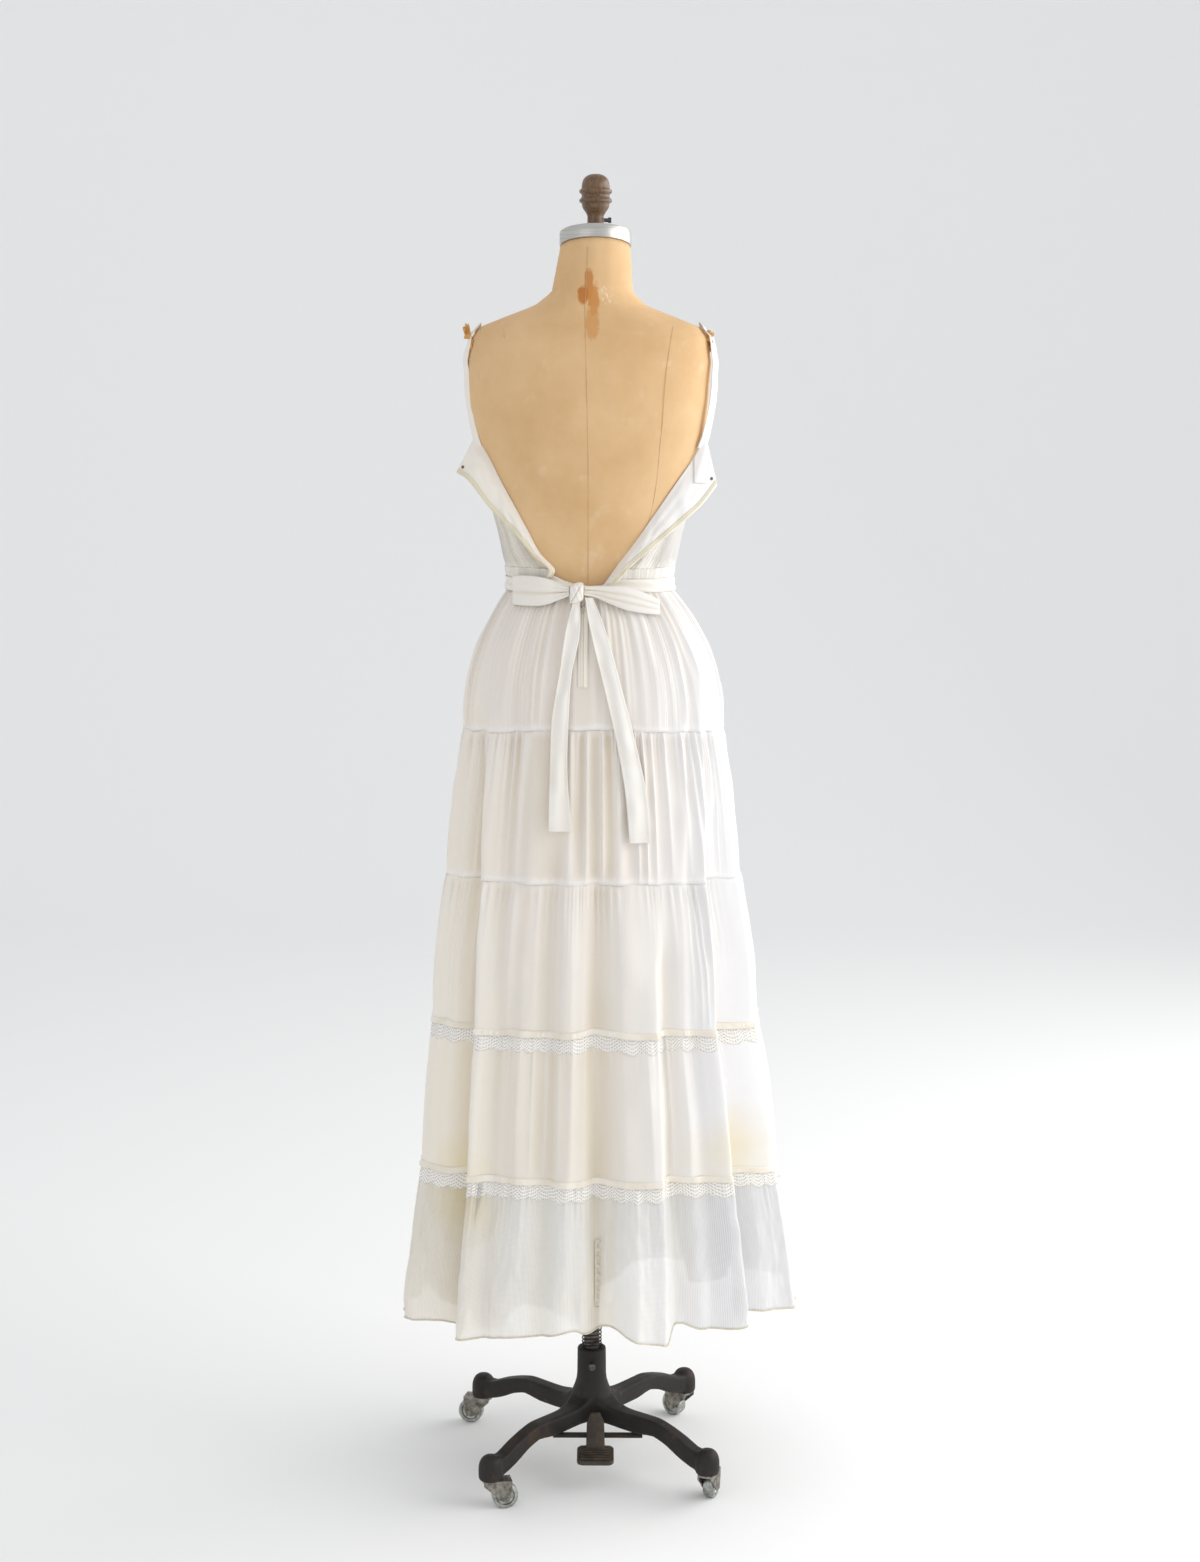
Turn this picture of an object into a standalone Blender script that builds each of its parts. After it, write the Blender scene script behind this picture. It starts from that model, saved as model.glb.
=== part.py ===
# Maxi dress of sheer cotton gauze in five gathered tiers, open at the back and tied with a bow,
# on a limbless dress form with a pedal stand on four casters.
# Metres, +Z up, floor at Z = 0. The dress's back faces -Y. Angles round the body run from the
# centre back (0) towards +X (90 degrees) and the centre front (180 degrees).

from math import atan2, cos, pi, radians, sin, tan

import bmesh
import bpy
import numpy as np
from mathutils import Matrix, Vector

# Walls and seams
GAP = 0.0003
CLOTH = 0.0012
TAPE = 0.0008
FORM_WALL = 0.004

# Heights of the seams above the floor
BODICE_TOP = 1.488
BAND_TOP = 1.3200
BAND_BOTTOM = 1.3045
SASH_BOTTOM = 1.2880
SKIRT_TOP = SASH_BOTTOM - GAP
TIER_DROPS = (0.1957, 0.206, 0.206, 0.210, 0.220)

# Dress form, whose body stands a little to the left of its post
TORSO_SHIFT = -0.006
NECK_LEAN = tan(radians(13.4))
TORSO_COLUMNS = ("height", "half_width", "back", "front", "lean", "power")
TORSO_ROWS = (
    (0.865, 0.160, 0.094, 0.106, 0.0, 2.2),
    (0.990, 0.173, 0.100, 0.110, 0.0, 2.2),
    (1.090, 0.167, 0.094, 0.106, 0.0, 2.2),
    (1.180, 0.146, 0.082, 0.100, 0.0, 2.2),
    (1.235, 0.122, 0.073, 0.096, 0.0, 2.2),
    (1.300, 0.109, 0.070, 0.094, 0.0, 2.2),
    (1.367, 0.123, 0.078, 0.108, 0.0, 2.2),
    (1.430, 0.141, 0.089, 0.134, 0.0, 2.2),
    (1.500, 0.160, 0.099, 0.156, 0.0, 2.2),
    (1.550, 0.167, 0.103, 0.150, 0.0, 2.2),
    (1.600, 0.169, 0.101, 0.126, 0.0, 2.2),
    (1.634, 0.163, 0.090, 0.096, 0.0, 2.2),
    (1.6485, 0.150, 0.079, 0.074, 0.0, 2.2),
    (1.659, 0.124, 0.068, 0.060, 0.0, 2.1),
    (1.677, 0.077, 0.057, 0.052, 0.0, 2.0),
    (1.695, 0.056, 0.051, 0.049, 0.3, 2.0),
    (1.7558, 0.048, 0.048, 0.048, 1.0, 2.0),
)
TORSO_FACETS = 28
BOARD_LOW = 0.002
BOARD_HIGH = 0.014

# How far each piece of the bodice and the waist stands out from the form, and its gathers
BODICE_FRONT = {"out": 0.0034, "gather": 0.0008, "from": 91, "to": 269, "columns": 23}
BODICE_FRONT_LEVELS = (1.500, 1.430, 1.367)
BODICE_BACK = {"out": 0.0030, "gather": 0.0006, "side": 90.2, "rows": 6, "columns": 7}
WAISTBAND = {"out": 0.0046, "gather": 0.0008, "from": 3, "to": 357, "columns": 47}
SASH = {"out": 0.0066, "swell": 0.0012, "from": 96, "left_to": 9, "right_to": 5, "columns": 13}

# Skirt tiers: half widths to the left and right, depths to the back and front, each at the
# tier's lower seam, and the gathers in its top seam
SKIRT_WAIST = {"left": 0.1205, "right": 0.1085, "back": 0.0765, "front": 0.1000}
TIER_COLUMNS = ("left", "right", "back", "front", "rise", "waves", "gather", "hem_wave")
TIER_ROWS = (
    (0.183, 0.184, 0.107, 0.120, 2.2, 18, 0.0022, 0.0010),
    (0.207, 0.210, 0.117, 0.130, 1.4, 20, 0.0024, 0.0010),
    (0.228, 0.237, 0.136, 0.146, 1.8, 21, 0.0026, 0.0010),
    (0.244, 0.267, 0.148, 0.160, 1.6, 23, 0.0026, 0.0010),
    (0.272, 0.295, 0.163, 0.180, 1.3, 27, 0.0030, 0.0052),
)
TIER_LEVELS = (
    (0.0, 0.12, 0.42, 1.0), (0.0, 0.2, 1.0), (0.0, 0.2, 1.0), (0.0, 0.2, 1.0), (0.0, 0.25, 1.0),
)
SKIRT_POWER = 2.2
SEAM_LIFT = 0.008
HEM_TILT = 0.010
FOLD_GROWS_OVER = 0.08

# Largest folds: place round the body at the waist and the hem, the heights between which the
# fold lies, its width round the body, and how far it stands out at its top and bottom
FOLD_COLUMNS = ("top_angle", "hem_angle", "from_height", "to_height", "width", "out_top", "out_hem")
FOLD_ROWS = (
    (60, 44, 1.26, 0.20, 5, 0.004, 0.012),
    (56, 67, 0.92, 0.20, 6, 0.003, 0.010),
    (52, 54, 0.98, 0.20, 6, -0.004, -0.016),
    (-47, -47, 0.96, 0.20, 5, 0.004, 0.014),
    (-56, -59, 1.05, 0.20, 7, -0.004, -0.018),
    (-33, -36, 1.20, 0.20, 8, -0.003, -0.006),
    (4, -2, 0.88, 0.20, 12, -0.003, -0.018),
    (18, 20, 0.70, 0.20, 6, 0.002, 0.016),
    (26, 28, 0.80, 0.20, 5, -0.002, -0.008),
    (-18, -20, 1.05, 0.20, 9, 0.002, 0.007),
    (84, 82, 1.10, 0.20, 7, 0.003, 0.008),
    (-80, -78, 1.10, 0.20, 7, 0.003, 0.008),
    (108, 112, 1.00, 0.20, 8, -0.004, -0.014),
    (128, 130, 1.15, 0.20, 6, 0.004, 0.013),
    (150, 148, 0.95, 0.20, 8, -0.003, -0.011),
    (172, 170, 1.10, 0.20, 7, 0.003, 0.012),
    (-166, -168, 0.90, 0.20, 7, -0.003, -0.010),
    (-146, -144, 1.20, 0.20, 6, 0.004, 0.013),
    (-124, -122, 0.95, 0.20, 8, -0.003, -0.014),
    (-104, -102, 1.05, 0.20, 6, 0.003, 0.009),
)

# Lining behind the last tier: height of its hem round the body
LINING_COLUMNS = ("angle", "hem")
LINING_ROWS = (
    (-180, 0.315), (-120, 0.300), (-70, 0.275), (-44, 0.266), (-34, 0.282), (-14, 0.305),
    (6, 0.335), (18, 0.352), (30, 0.338), (48, 0.325), (90, 0.330), (140, 0.325), (180, 0.315),
)
LINING_FACETS = 40
LINING_INSET = {"top": 0.0158, "hem": 0.0285}

# Back panels folded outward: the fold line and the zip edge, as seen from behind
FLAP_COLUMNS = ("fold_x", "fold_z", "edge_x", "edge_z", "edge_y")
FLAP_LEFT_ROWS = (
    (-0.164, 1.500, -0.191, 1.449, -0.036),
    (-0.146, 1.473, -0.173, 1.438, -0.054),
    (-0.129, 1.440, -0.145, 1.403, -0.060),
    (-0.112, 1.409, -0.123, 1.381, -0.063),
    (-0.093, 1.375, -0.105, 1.362, -0.068),
    (-0.075, 1.342, -0.087, 1.341, -0.072),
    (-0.054, 1.3210, -0.063, 1.3210, -0.078),
)
FLAP_RIGHT_ROWS = (
    (0.152, 1.504, 0.169, 1.433, -0.036),
    (0.136, 1.471, 0.149, 1.408, -0.050),
    (0.115, 1.441, 0.128, 1.389, -0.060),
    (0.094, 1.411, 0.108, 1.372, -0.066),
    (0.076, 1.385, 0.090, 1.357, -0.072),
    (0.057, 1.358, 0.068, 1.339, -0.078),
    (0.034, 1.328, 0.046, 1.3210, -0.083),
)
FLAP_OUT = 0.0048
FLAP_SWELL = 0.0015
FLAP_ROW_STEPS = 2
FLAP_COLUMN_COUNT = 5
TAPE_WIDTH = 0.0055
TAPE_EDGE = 0.97
HOOK_PLACE = (0.04, 0.78)
HOOK_PROFILE = ((0.0022, 0.0), (0.0022, 0.0010), (0.0012, 0.0016))
STRAP_END_ROWS = (1, 2, 3)
STRAP_END_ACROSS = (0.25, 0.50)

# Straps: place round the form and height along each strap, from the back to the front
STRAP_COLUMNS = ("angle", "height")
STRAP_ROWS = (
    (74, 1.5085), (76, 1.550), (78, 1.600), (80, 1.630), (86, 1.644), (94, 1.6455),
    (104, 1.636), (113, 1.612), (121, 1.585), (127, 1.5575),
)
STRAP_LEFT_WIDTH = 0.012
STRAP_RIGHT_WIDTH = 0.017
STRAP_OUT = 0.0022
STRAP_SWELL = 0.0006
STRAP_STEPS = 12

# Neckline of the front
NECKLINE_COLUMNS = ("angle", "height")
NECKLINE_ROWS = (
    (91, 1.488), (110, 1.528), (127, 1.554), (153, 1.548), (180, 1.543),
    (207, 1.548), (233, 1.554), (250, 1.528), (269, 1.488),
)

# Bow at the back of the waist, tied a little left of the centre
KNOT_X = -0.0235
KNOT_Z = 1.2915
KNOT_SIZE = (0.018, 0.016, 0.023)
KNOT_Y = -0.0862
KNOT_ROUND = 0.22
LOOP_COLUMNS = ("reach", "top", "bottom")
LOOP_LEFT_ROWS = (
    (0.000, 1.2985, 1.2855), (0.012, 1.3040, 1.2790), (0.035, 1.3110, 1.2700),
    (0.055, 1.3100, 1.2690), (0.068, 1.3050, 1.2745), (0.078, 1.3010, 1.2800),
)
LOOP_RIGHT_ROWS = (
    (0.000, 1.2980, 1.2860), (0.015, 1.2975, 1.2820), (0.035, 1.2975, 1.2735),
    (0.056, 1.2970, 1.2655), (0.082, 1.2885, 1.2600), (0.104, 1.2780, 1.2575),
)
LOOP_GAP = 0.0030
LOOP_OUT = 0.0130
LOOP_FLARE_OUT = 0.0062
LOOP_CREASE = 0.0007
LOOP_SETTLE = 0.020
LOOP_END = {"turn": 0.0040, "bend": 0.0012, "bend_face": 0.75}
TAIL_COLUMNS = ("height", "left", "right", "out")
TAIL_LEFT_ROWS = (
    (1.2796, -0.0295, -0.0180, 0.0100), (1.2300, -0.0400, -0.0200, 0.0075),
    (1.1800, -0.0470, -0.0300, 0.0070), (1.1200, -0.0570, -0.0340, 0.0065),
    (1.0500, -0.0600, -0.0360, 0.0065), (0.9620, -0.0620, -0.0300, 0.0065),
)
TAIL_RIGHT_ROWS = (
    (1.2818, -0.0145, 0.0005, 0.0100), (1.2250, -0.0020, 0.0200, 0.0075),
    (1.1530, 0.0160, 0.0400, 0.0070), (1.0760, 0.0330, 0.0600, 0.0065),
    (1.0200, 0.0430, 0.0720, 0.0065), (0.9460, 0.0500, 0.0790, 0.0065),
)

TAIL_LEVELS = 11
TAIL_COLUMN_COUNT = 4
TAIL_RIPPLE = 0.0008

# Zip below the knot
ZIP_X = -0.0150
ZIP_END = 1.1600
ZIP_WIDTH = 0.0130
ZIP_LEVELS = 6
ZIP_OUT = 0.0026
SLIDER_SIZE = (0.0060, 0.0030, 0.0080)
SLIDER_Z = 1.2715
ZIP_TOP = SLIDER_Z
TAB_SIZE = (0.0034, 0.0010, 0.0120)
TAB_EYE = 0.0006

# Ribbon and lace over the third and fourth seams
RIBBON_HEIGHT = 0.0095
LACE_HEIGHT = 0.0350
LACE_RISE = 0.0080
LACE_OUT = {1: (0.0034, 0.0058), 2: (0.0064, 0.0088)}
TRIM = 0.0008
BAND_FACETS = 56

# Strip with square picots at the back of the last tier
PICOT_X = 0.0050
PICOT_WIDTH = 0.0035
PICOT_REACH = 0.0045
PICOT_TOOTH = 0.0050
PICOT_CORNER = 0.0004
PICOT_PITCH = 0.0120
PICOT_TOP = 0.3850
PICOT_COUNT = 8
PICOT_OUT = 0.0036
PICOT_THICKNESS = 0.0010

# Neck ring, finial and screws
RING_RADIUS = 0.0493
RING_HEIGHT = 0.019
RING_CENTRE = 1.7661
FINIAL_BASE = 1.7789
FINIAL_PROFILE = (
    (0.0113, 1.7789), (0.0113, 1.7985), (0.0140, 1.8030), (0.0172, 1.8080), (0.0190, 1.8140),
    (0.0224, 1.8165), (0.0224, 1.8200), (0.0192, 1.8235), (0.0192, 1.8270), (0.0223, 1.8295),
    (0.0223, 1.8327), (0.0193, 1.8345), (0.0188, 1.8420), (0.0145, 1.8500), (0.0070, 1.8538),
)
FINIAL_TOP = 1.8546
THUMB_SCREW_Z = 1.7925
THUMB_SCREW_PROFILE = ((0.0027, 0.0), (0.0027, 0.0055), (0.0038, 0.0056), (0.0038, 0.0100))

# Post and pole
POST_RADIUS = 0.0113
POST_BORE = 0.0084
POST_BOTTOM = 0.085
POST_TOP = 0.660
POLE_RADIUS = 0.0080
POLE_BOTTOM = 0.200
POLE_TOP = 1.7535

# Stand
BASE_TURN = radians(4.4)
HUB_PROFILE = (
    (0.0200, 0.1785), (0.0205, 0.1500), (0.0235, 0.1400), (0.0310, 0.1310), (0.0330, 0.1200),
    (0.0330, 0.0760), (0.0290, 0.0700),
)
HUB_BORE = POST_RADIUS + GAP
HUB_FACETS = 20
SET_SCREW_PLACE = (0.001, -0.0205 - GAP, 0.1560)
SET_SCREW_PROFILE = ((0.0030, 0.0), (0.0030, 0.0060), (0.0050, 0.0061), (0.0050, 0.0120))
CASTER_RADIUS = 0.2173
LEG_COLUMNS = ("reach", "middle", "half_height", "half_width")
LEG_ROWS = (
    (0.018, 0.106, 0.0150, 0.0100), (0.042, 0.101, 0.0150, 0.0100), (0.066, 0.088, 0.0150, 0.0100),
    (0.095, 0.083, 0.0145, 0.0095), (0.130, 0.082, 0.0140, 0.0095), (0.158, 0.074, 0.0130, 0.0090),
    (0.186, 0.062, 0.0120, 0.0090), (0.205, 0.059, 0.0110, 0.0090),
)
LEG_CORNER = 0.35
CAP_PROFILE = (
    (0.0150, 0.0425), (0.0173, 0.0470), (0.0173, 0.0610), (0.0150, 0.0700), (0.0095, 0.0760),
)
CAP_TOP = 0.0785
SPRING_RADIUS = 0.0138
SPRING_WIRE = 0.0019
SPRING_BOTTOM = 0.1809
SPRING_TOP = 0.2105
SPRING_TURNS = 5
SPRING_STRETCH = 1.15

# Casters: wheel and fork, then each one's place and the way that it trails, in degrees from +X
WHEEL_RADIUS = 0.0185
WHEEL_HALF = 0.0075
WHEEL_FACETS = 16
WHEEL_BEVEL = 0.0012
STUB_RADIUS = 0.0060
FORK_INNER = 0.0088
FORK_OUTER = 0.0110
FORK_CROWN = 0.0386
FORK_PROFILE = (
    (-0.011, 0.0422), (0.029, 0.0422), (0.029, 0.030), (0.025, 0.0115), (0.015, 0.0115), (-0.011, 0.036),
)
TRAIL = 0.0200
CASTERS = {
    "front_left": (-135, 12),
    "front_right": (-45, 70),
    "back_left": (135, 165),
    "back_right": (45, 138),
}

# Pedal, hinged on the brace under the two near legs
BRACE_Y = -0.060
BRACE_Z = 0.0644
BRACE_RADIUS = 0.0040
BRACE_PAST_LEG = 0.004
PEDAL_BORE = BRACE_RADIUS + 0.0006
PEDAL_X = 0.0060
PLATE_SIZE = (0.051, 0.060, 0.006)
PLATE_Y = -0.092
PLATE_Z = 0.047
ARM_WIDTH = 0.030
ARM_PROFILE = (
    (-0.070, 0.0440), (-0.056, 0.0560), (-0.040, 0.0800), (-0.0395, 0.0860),
    (-0.052, 0.0800), (-0.070, 0.0640), (-0.078, 0.0500),
)
ARM_FRONT = -0.078
TREAD_RIBS = 6
RIB_SIZE = (0.043, 0.0045, 0.004)

COLOURS = {
    "gauze": (0.84, 0.80, 0.73, 0.85, 0.0),
    "satin": (0.86, 0.78, 0.62, 0.45, 0.0),
    "lace": (0.88, 0.84, 0.76, 0.80, 0.0),
    "zip_tape": (0.80, 0.69, 0.48, 0.80, 0.0),
    "nickel": (0.35, 0.33, 0.30, 0.35, 1.0),
    "form_cloth": (0.62, 0.44, 0.26, 0.85, 0.0),
    "aluminium": (0.50, 0.52, 0.53, 0.40, 1.0),
    "wood": (0.16, 0.09, 0.05, 0.45, 0.0),
    "board": (0.33, 0.22, 0.13, 0.80, 0.0),
    "steel": (0.36, 0.36, 0.35, 0.40, 1.0),
    "cast_iron": (0.05, 0.04, 0.035, 0.60, 0.6),
    "wheel_steel": (0.30, 0.31, 0.29, 0.50, 0.8),
}


def table(columns, rows):
    values = np.array(rows, dtype=float)
    return {name: values[:, place] for place, name in enumerate(columns)}


TORSO = table(TORSO_COLUMNS, TORSO_ROWS)
TIERS = table(TIER_COLUMNS, TIER_ROWS)
FOLDS = table(FOLD_COLUMNS, FOLD_ROWS)
LINING = table(LINING_COLUMNS, LINING_ROWS)
NECKLINE = table(NECKLINE_COLUMNS, NECKLINE_ROWS)
SEAMS = SKIRT_TOP - np.concatenate([[0.0], np.cumsum(TIER_DROPS)])


# Scene, materials and objects

def clearScene():
    for item in list(bpy.data.objects):
        bpy.data.objects.remove(item, do_unlink=True)


def material(name):
    found = bpy.data.materials.get(name)
    if found:
        return found
    red, green, blue, roughness, metallic = COLOURS[name]
    made = bpy.data.materials.new(name)
    made.use_nodes = True
    shader = made.node_tree.nodes["Principled BSDF"]
    shader.inputs["Base Color"].default_value = (red, green, blue, 1.0)
    shader.inputs["Roughness"].default_value = roughness
    shader.inputs["Metallic"].default_value = metallic
    made.diffuse_color = (red, green, blue, 1.0)
    return made


def addObject(name, mesh, materialName, sharp=35):
    mesh.materials.clear()
    mesh.materials.append(material(materialName))
    mesh.shade_smooth()
    mesh.set_sharp_from_angle(angle=radians(sharp))
    made = bpy.data.objects.new(name, mesh)
    bpy.context.scene.collection.objects.link(made)
    return made


def meshFromFaces(name, points, faces):
    mesh = bpy.data.meshes.new(name)
    shape = bmesh.new()
    corners = [shape.verts.new(Vector(point)) for point in points]
    for face in faces:
        shape.faces.new([corners[place] for place in face])
    bmesh.ops.recalc_face_normals(shape, faces=shape.faces)
    shape.to_mesh(mesh)
    shape.free()
    return mesh


# Walls from grids of points

def gridNormals(grid, wrap):
    if wrap:
        along = np.roll(grid, -1, axis=1) - np.roll(grid, 1, axis=1)
    else:
        along = np.gradient(grid, axis=1)
    down = np.gradient(grid, axis=0)
    normal = np.cross(along, down)
    normal /= np.linalg.norm(normal, axis=2, keepdims=True)
    return normal


def outward(grid, normal):
    away = grid - np.array([TORSO_SHIFT, 0.0, 0.0])
    away[:, :, 2] = 0.0
    return normal if np.sum(normal * away) > 0 else -normal


def gridFaces(rows, columns, wrap):
    faces = []
    layer = rows * columns
    steps = columns if wrap else columns - 1
    for row in range(rows - 1):
        for column in range(steps):
            following = (column + 1) % columns
            a = row * columns + column
            b = row * columns + following
            c = (row + 1) * columns + following
            d = (row + 1) * columns + column
            faces.append((a, b, c, d))
            faces.append((layer + d, layer + c, layer + b, layer + a))
    for row in (0, rows - 1):
        for column in range(steps):
            following = (column + 1) % columns
            a = row * columns + column
            b = row * columns + following
            faces.append((a, b, layer + b, layer + a))
    if not wrap:
        for column in (0, columns - 1):
            for row in range(rows - 1):
                a = row * columns + column
                b = (row + 1) * columns + column
                faces.append((a, b, layer + b, layer + a))
    return faces


def wall(name, grid, materialName, thickness=CLOTH, wrap=False, normal=None, inner=None):
    if normal is None:
        normal = outward(grid, gridNormals(grid, wrap))
    if inner is None:
        inner = grid - normal * thickness
    points = np.concatenate([grid.reshape(-1, 3), inner.reshape(-1, 3)])
    faces = gridFaces(grid.shape[0], grid.shape[1], wrap)
    return addObject(name, meshFromFaces(name, points, faces), materialName)


def patch(grid, downs, acrosses, out, normal):
    rows, columns = grid.shape[:2]
    made = np.zeros((len(downs), len(acrosses[0]), 3))
    for row, down in enumerate(downs):
        for column, across in enumerate(acrosses[row]):
            v = down * (rows - 1)
            u = across * (columns - 1)
            i = min(int(v), rows - 2)
            j = min(int(u), columns - 2)
            p = v - i
            q = u - j
            raised = grid[i:i + 2, j:j + 2] + out * normal[i:i + 2, j:j + 2]
            weights = np.outer((1 - p, p), (1 - q, q))
            made[row, column] = np.tensordot(weights, raised, axes=2)
    return made


# Body and skirt surfaces

def oval(angle, left, right, back, front, power):
    s = np.sin(angle)
    c = np.cos(angle)
    x = np.where(s > 0, right, left) * np.sign(s) * np.abs(s) ** (2 / power)
    y = -np.where(c > 0, back, front) * np.sign(c) * np.abs(c) ** (2 / power)
    return x, y


def torsoValue(name, height):
    return np.interp(height, TORSO["height"], TORSO[name])


def torsoPoint(angle, height, out=0.0):
    half = torsoValue("half_width", height) + out
    back = torsoValue("back", height) + out
    front = torsoValue("front", height) + out
    x, y = oval(angle, half, half, back, front, torsoValue("power", height))
    z = height - torsoValue("lean", height) * NECK_LEAN * y
    return np.stack([x + TORSO_SHIFT * (1 - torsoValue("lean", height)), y, z + 0 * x], axis=-1)


def torsoNormal(angle, height):
    step = 0.002
    along = torsoPoint(angle + step, height) - torsoPoint(angle - step, height)
    up = torsoPoint(angle, height + step) - torsoPoint(angle, height - step)
    normal = np.cross(along, up)
    return normal / np.linalg.norm(normal, axis=-1, keepdims=True)


def backDepth(x, height, out):
    half = torsoValue("half_width", height) + out
    back = torsoValue("back", height) + out
    power = torsoValue("power", height)
    share = np.minimum(np.abs(x - TORSO_SHIFT) / half, 0.985)
    return -back * (1 - share ** power) ** (1 / power)


def backAngle(x, height):
    share = min(abs(x - TORSO_SHIFT) / float(torsoValue("half_width", height)), 0.999)
    angle = np.arcsin(share ** (float(torsoValue("power", height)) / 2))
    return float(np.sign(x - TORSO_SHIFT) * angle)


def skirtSize(side, height):
    tier = int(np.clip(np.searchsorted(-SEAMS, -height) - 1, 0, len(TIER_DROPS) - 1))
    above = SKIRT_WAIST[side] if tier == 0 else TIERS[side][tier - 1]
    share = np.clip((SEAMS[tier] - height) / TIER_DROPS[tier], 0.0, 1.0)
    eased = 1 - (1 - share) ** TIERS["rise"][tier]
    return above + (TIERS[side][tier] - above) * eased


def foldOut(angle, height):
    total = 0 * angle
    for place in range(len(FOLDS["width"])):
        start = FOLDS["from_height"][place]
        if height >= start:
            continue
        share = (SKIRT_TOP - height) / (SKIRT_TOP - SEAMS[-1])
        middle = radians(FOLDS["top_angle"][place] * (1 - share) + FOLDS["hem_angle"][place] * share)
        grown = min((start - height) / FOLD_GROWS_OVER, 1.0)
        out = FOLDS["out_top"][place] * (1 - share) + FOLDS["out_hem"][place] * share
        apart = np.abs((angle - middle + pi) % (2 * pi) - pi)
        total = total + grown * out * np.exp(-(apart / radians(FOLDS["width"][place])) ** 2)
    return total


def seamLift(angle, height):
    lift = np.interp(height, [SEAMS[2], SEAMS[1], SEAMS[0]], [0.0, SEAM_LIFT, 0.0])
    sway = np.interp(height, [SEAMS[5], SEAMS[4]], [HEM_TILT, 0.0])
    return lift * np.maximum(np.cos(angle), 0) ** 2 + sway * np.sin(angle)


def skirtPoint(angle, height, out=0.0):
    stand = out + foldOut(angle, height)
    sizes = [skirtSize(side, height) + stand for side in ("left", "right", "back", "front")]
    x, y = oval(angle, *sizes, SKIRT_POWER)
    return np.stack([x, y, height + seamLift(angle, height)], axis=-1)


def skirtDepth(x, height, out):
    angle = skirtAngle(x, height)
    return float(skirtPoint(np.array([angle]), height, out)[0, 1])


def skirtAngle(x, height):
    side = "right" if x > 0 else "left"
    share = min(abs(x) / skirtSize(side, height), 0.999)
    return float(np.sign(x) * np.arcsin(share ** (SKIRT_POWER / 2)))


# Dress

def makeBodiceFront():
    columns = BODICE_FRONT["columns"]
    angles = np.linspace(BODICE_FRONT["from"], BODICE_FRONT["to"], columns)
    neckline = np.interp(angles, NECKLINE["angle"], NECKLINE["height"])
    upper, middle, lower = BODICE_FRONT_LEVELS
    grid = np.zeros((5, columns, 3))
    for column, angle in enumerate(np.radians(angles)):
        top = neckline[column]
        heights = (top, min(upper, top - 0.006), middle, lower, BAND_TOP + GAP)
        for row, height in enumerate(heights):
            gather = BODICE_FRONT["gather"] * cos(pi * column) * row / 4
            grid[row, column] = torsoPoint(angle, height, BODICE_FRONT["out"] + gather)
    wall("bodice_front", grid, "gauze")


def makeBodiceBack(name, side, flap):
    columns = BODICE_BACK["columns"]
    rows = BODICE_BACK["rows"]
    grid = np.zeros((rows, columns, 3))
    for row in range(rows):
        height = BODICE_TOP + (BAND_TOP + GAP - BODICE_TOP) * row / (rows - 1)
        fold = np.interp(-height, -flap["fold_z"], flap["fold_x"])
        start = backAngle(fold - side * 0.001, height)
        for column in range(columns):
            angle = start + (side * radians(BODICE_BACK["side"]) - start) * column / (columns - 1)
            gather = BODICE_BACK["gather"] * cos(pi * column) * row / (rows - 1)
            grid[row, column] = torsoPoint(angle, height, BODICE_BACK["out"] + gather)
    wall(name, grid, "gauze")


def flapGrid(flap):
    rows = FLAP_ROW_STEPS * (len(flap["fold_x"]) - 1) + 1
    columns = FLAP_COLUMN_COUNT
    grid = np.zeros((rows, columns, 3))
    places = np.linspace(0, 1, len(flap["fold_x"]))
    for row in range(rows):
        at = {name: float(np.interp(row / (rows - 1), places, flap[name])) for name in FLAP_COLUMNS}
        fold = np.array([at["fold_x"], backDepth(at["fold_x"], at["fold_z"], FLAP_OUT), at["fold_z"]])
        edge_y = min(at["edge_y"], backDepth(at["edge_x"], at["edge_z"], FLAP_OUT))
        edge = np.array([at["edge_x"], edge_y, at["edge_z"]])
        for column in range(columns):
            share = column / (columns - 1)
            point = fold + (edge - fold) * share
            swell = FLAP_SWELL * sin(pi * share)
            grid[row, column] = point - np.array([0, swell, 0])
    return grid


def makeFlap(suffix, flap):
    grid = flapGrid(flap)
    normal = gridNormals(grid, False)
    if np.sum(normal[:, :, 1]) > 0:
        normal = -normal
    wall("back_flap_" + suffix, grid, "gauze", normal=normal)
    rows = grid.shape[0]
    lengths = np.linalg.norm(grid[:, -1] - grid[:, 0], axis=1)
    downs = np.arange(rows) / (rows - 1)
    widths = np.interp(downs, np.linspace(0, 1, rows), lengths)
    acrosses = [(max(0.25, TAPE_EDGE - TAPE_WIDTH / width), TAPE_EDGE) for width in widths]
    tape = patch(grid, downs, acrosses, 3 * GAP + TAPE, normal)
    tapeNormal = patch(normal, downs, acrosses, 0.0, normal)
    wall("zip_tape_" + suffix, tape, "zip_tape", thickness=TAPE, normal=tapeNormal)
    down, across = HOOK_PLACE
    place = patch(grid, [down], [(across,)], 0.0, normal)[0, 0]
    facing = patch(normal, [down], [(across,)], 0.0, normal)[0, 0]
    hook = lathe("hook_" + suffix, HOOK_PROFILE, 0.0, HOOK_PROFILE[-1][1], 8, "nickel")
    turn = Vector(facing).to_track_quat("Z", "Y").to_matrix().to_4x4()
    hook.data.transform(Matrix.Translation(Vector(place) + Vector(facing) * 2 * GAP) @ turn)
    return grid, normal


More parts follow.
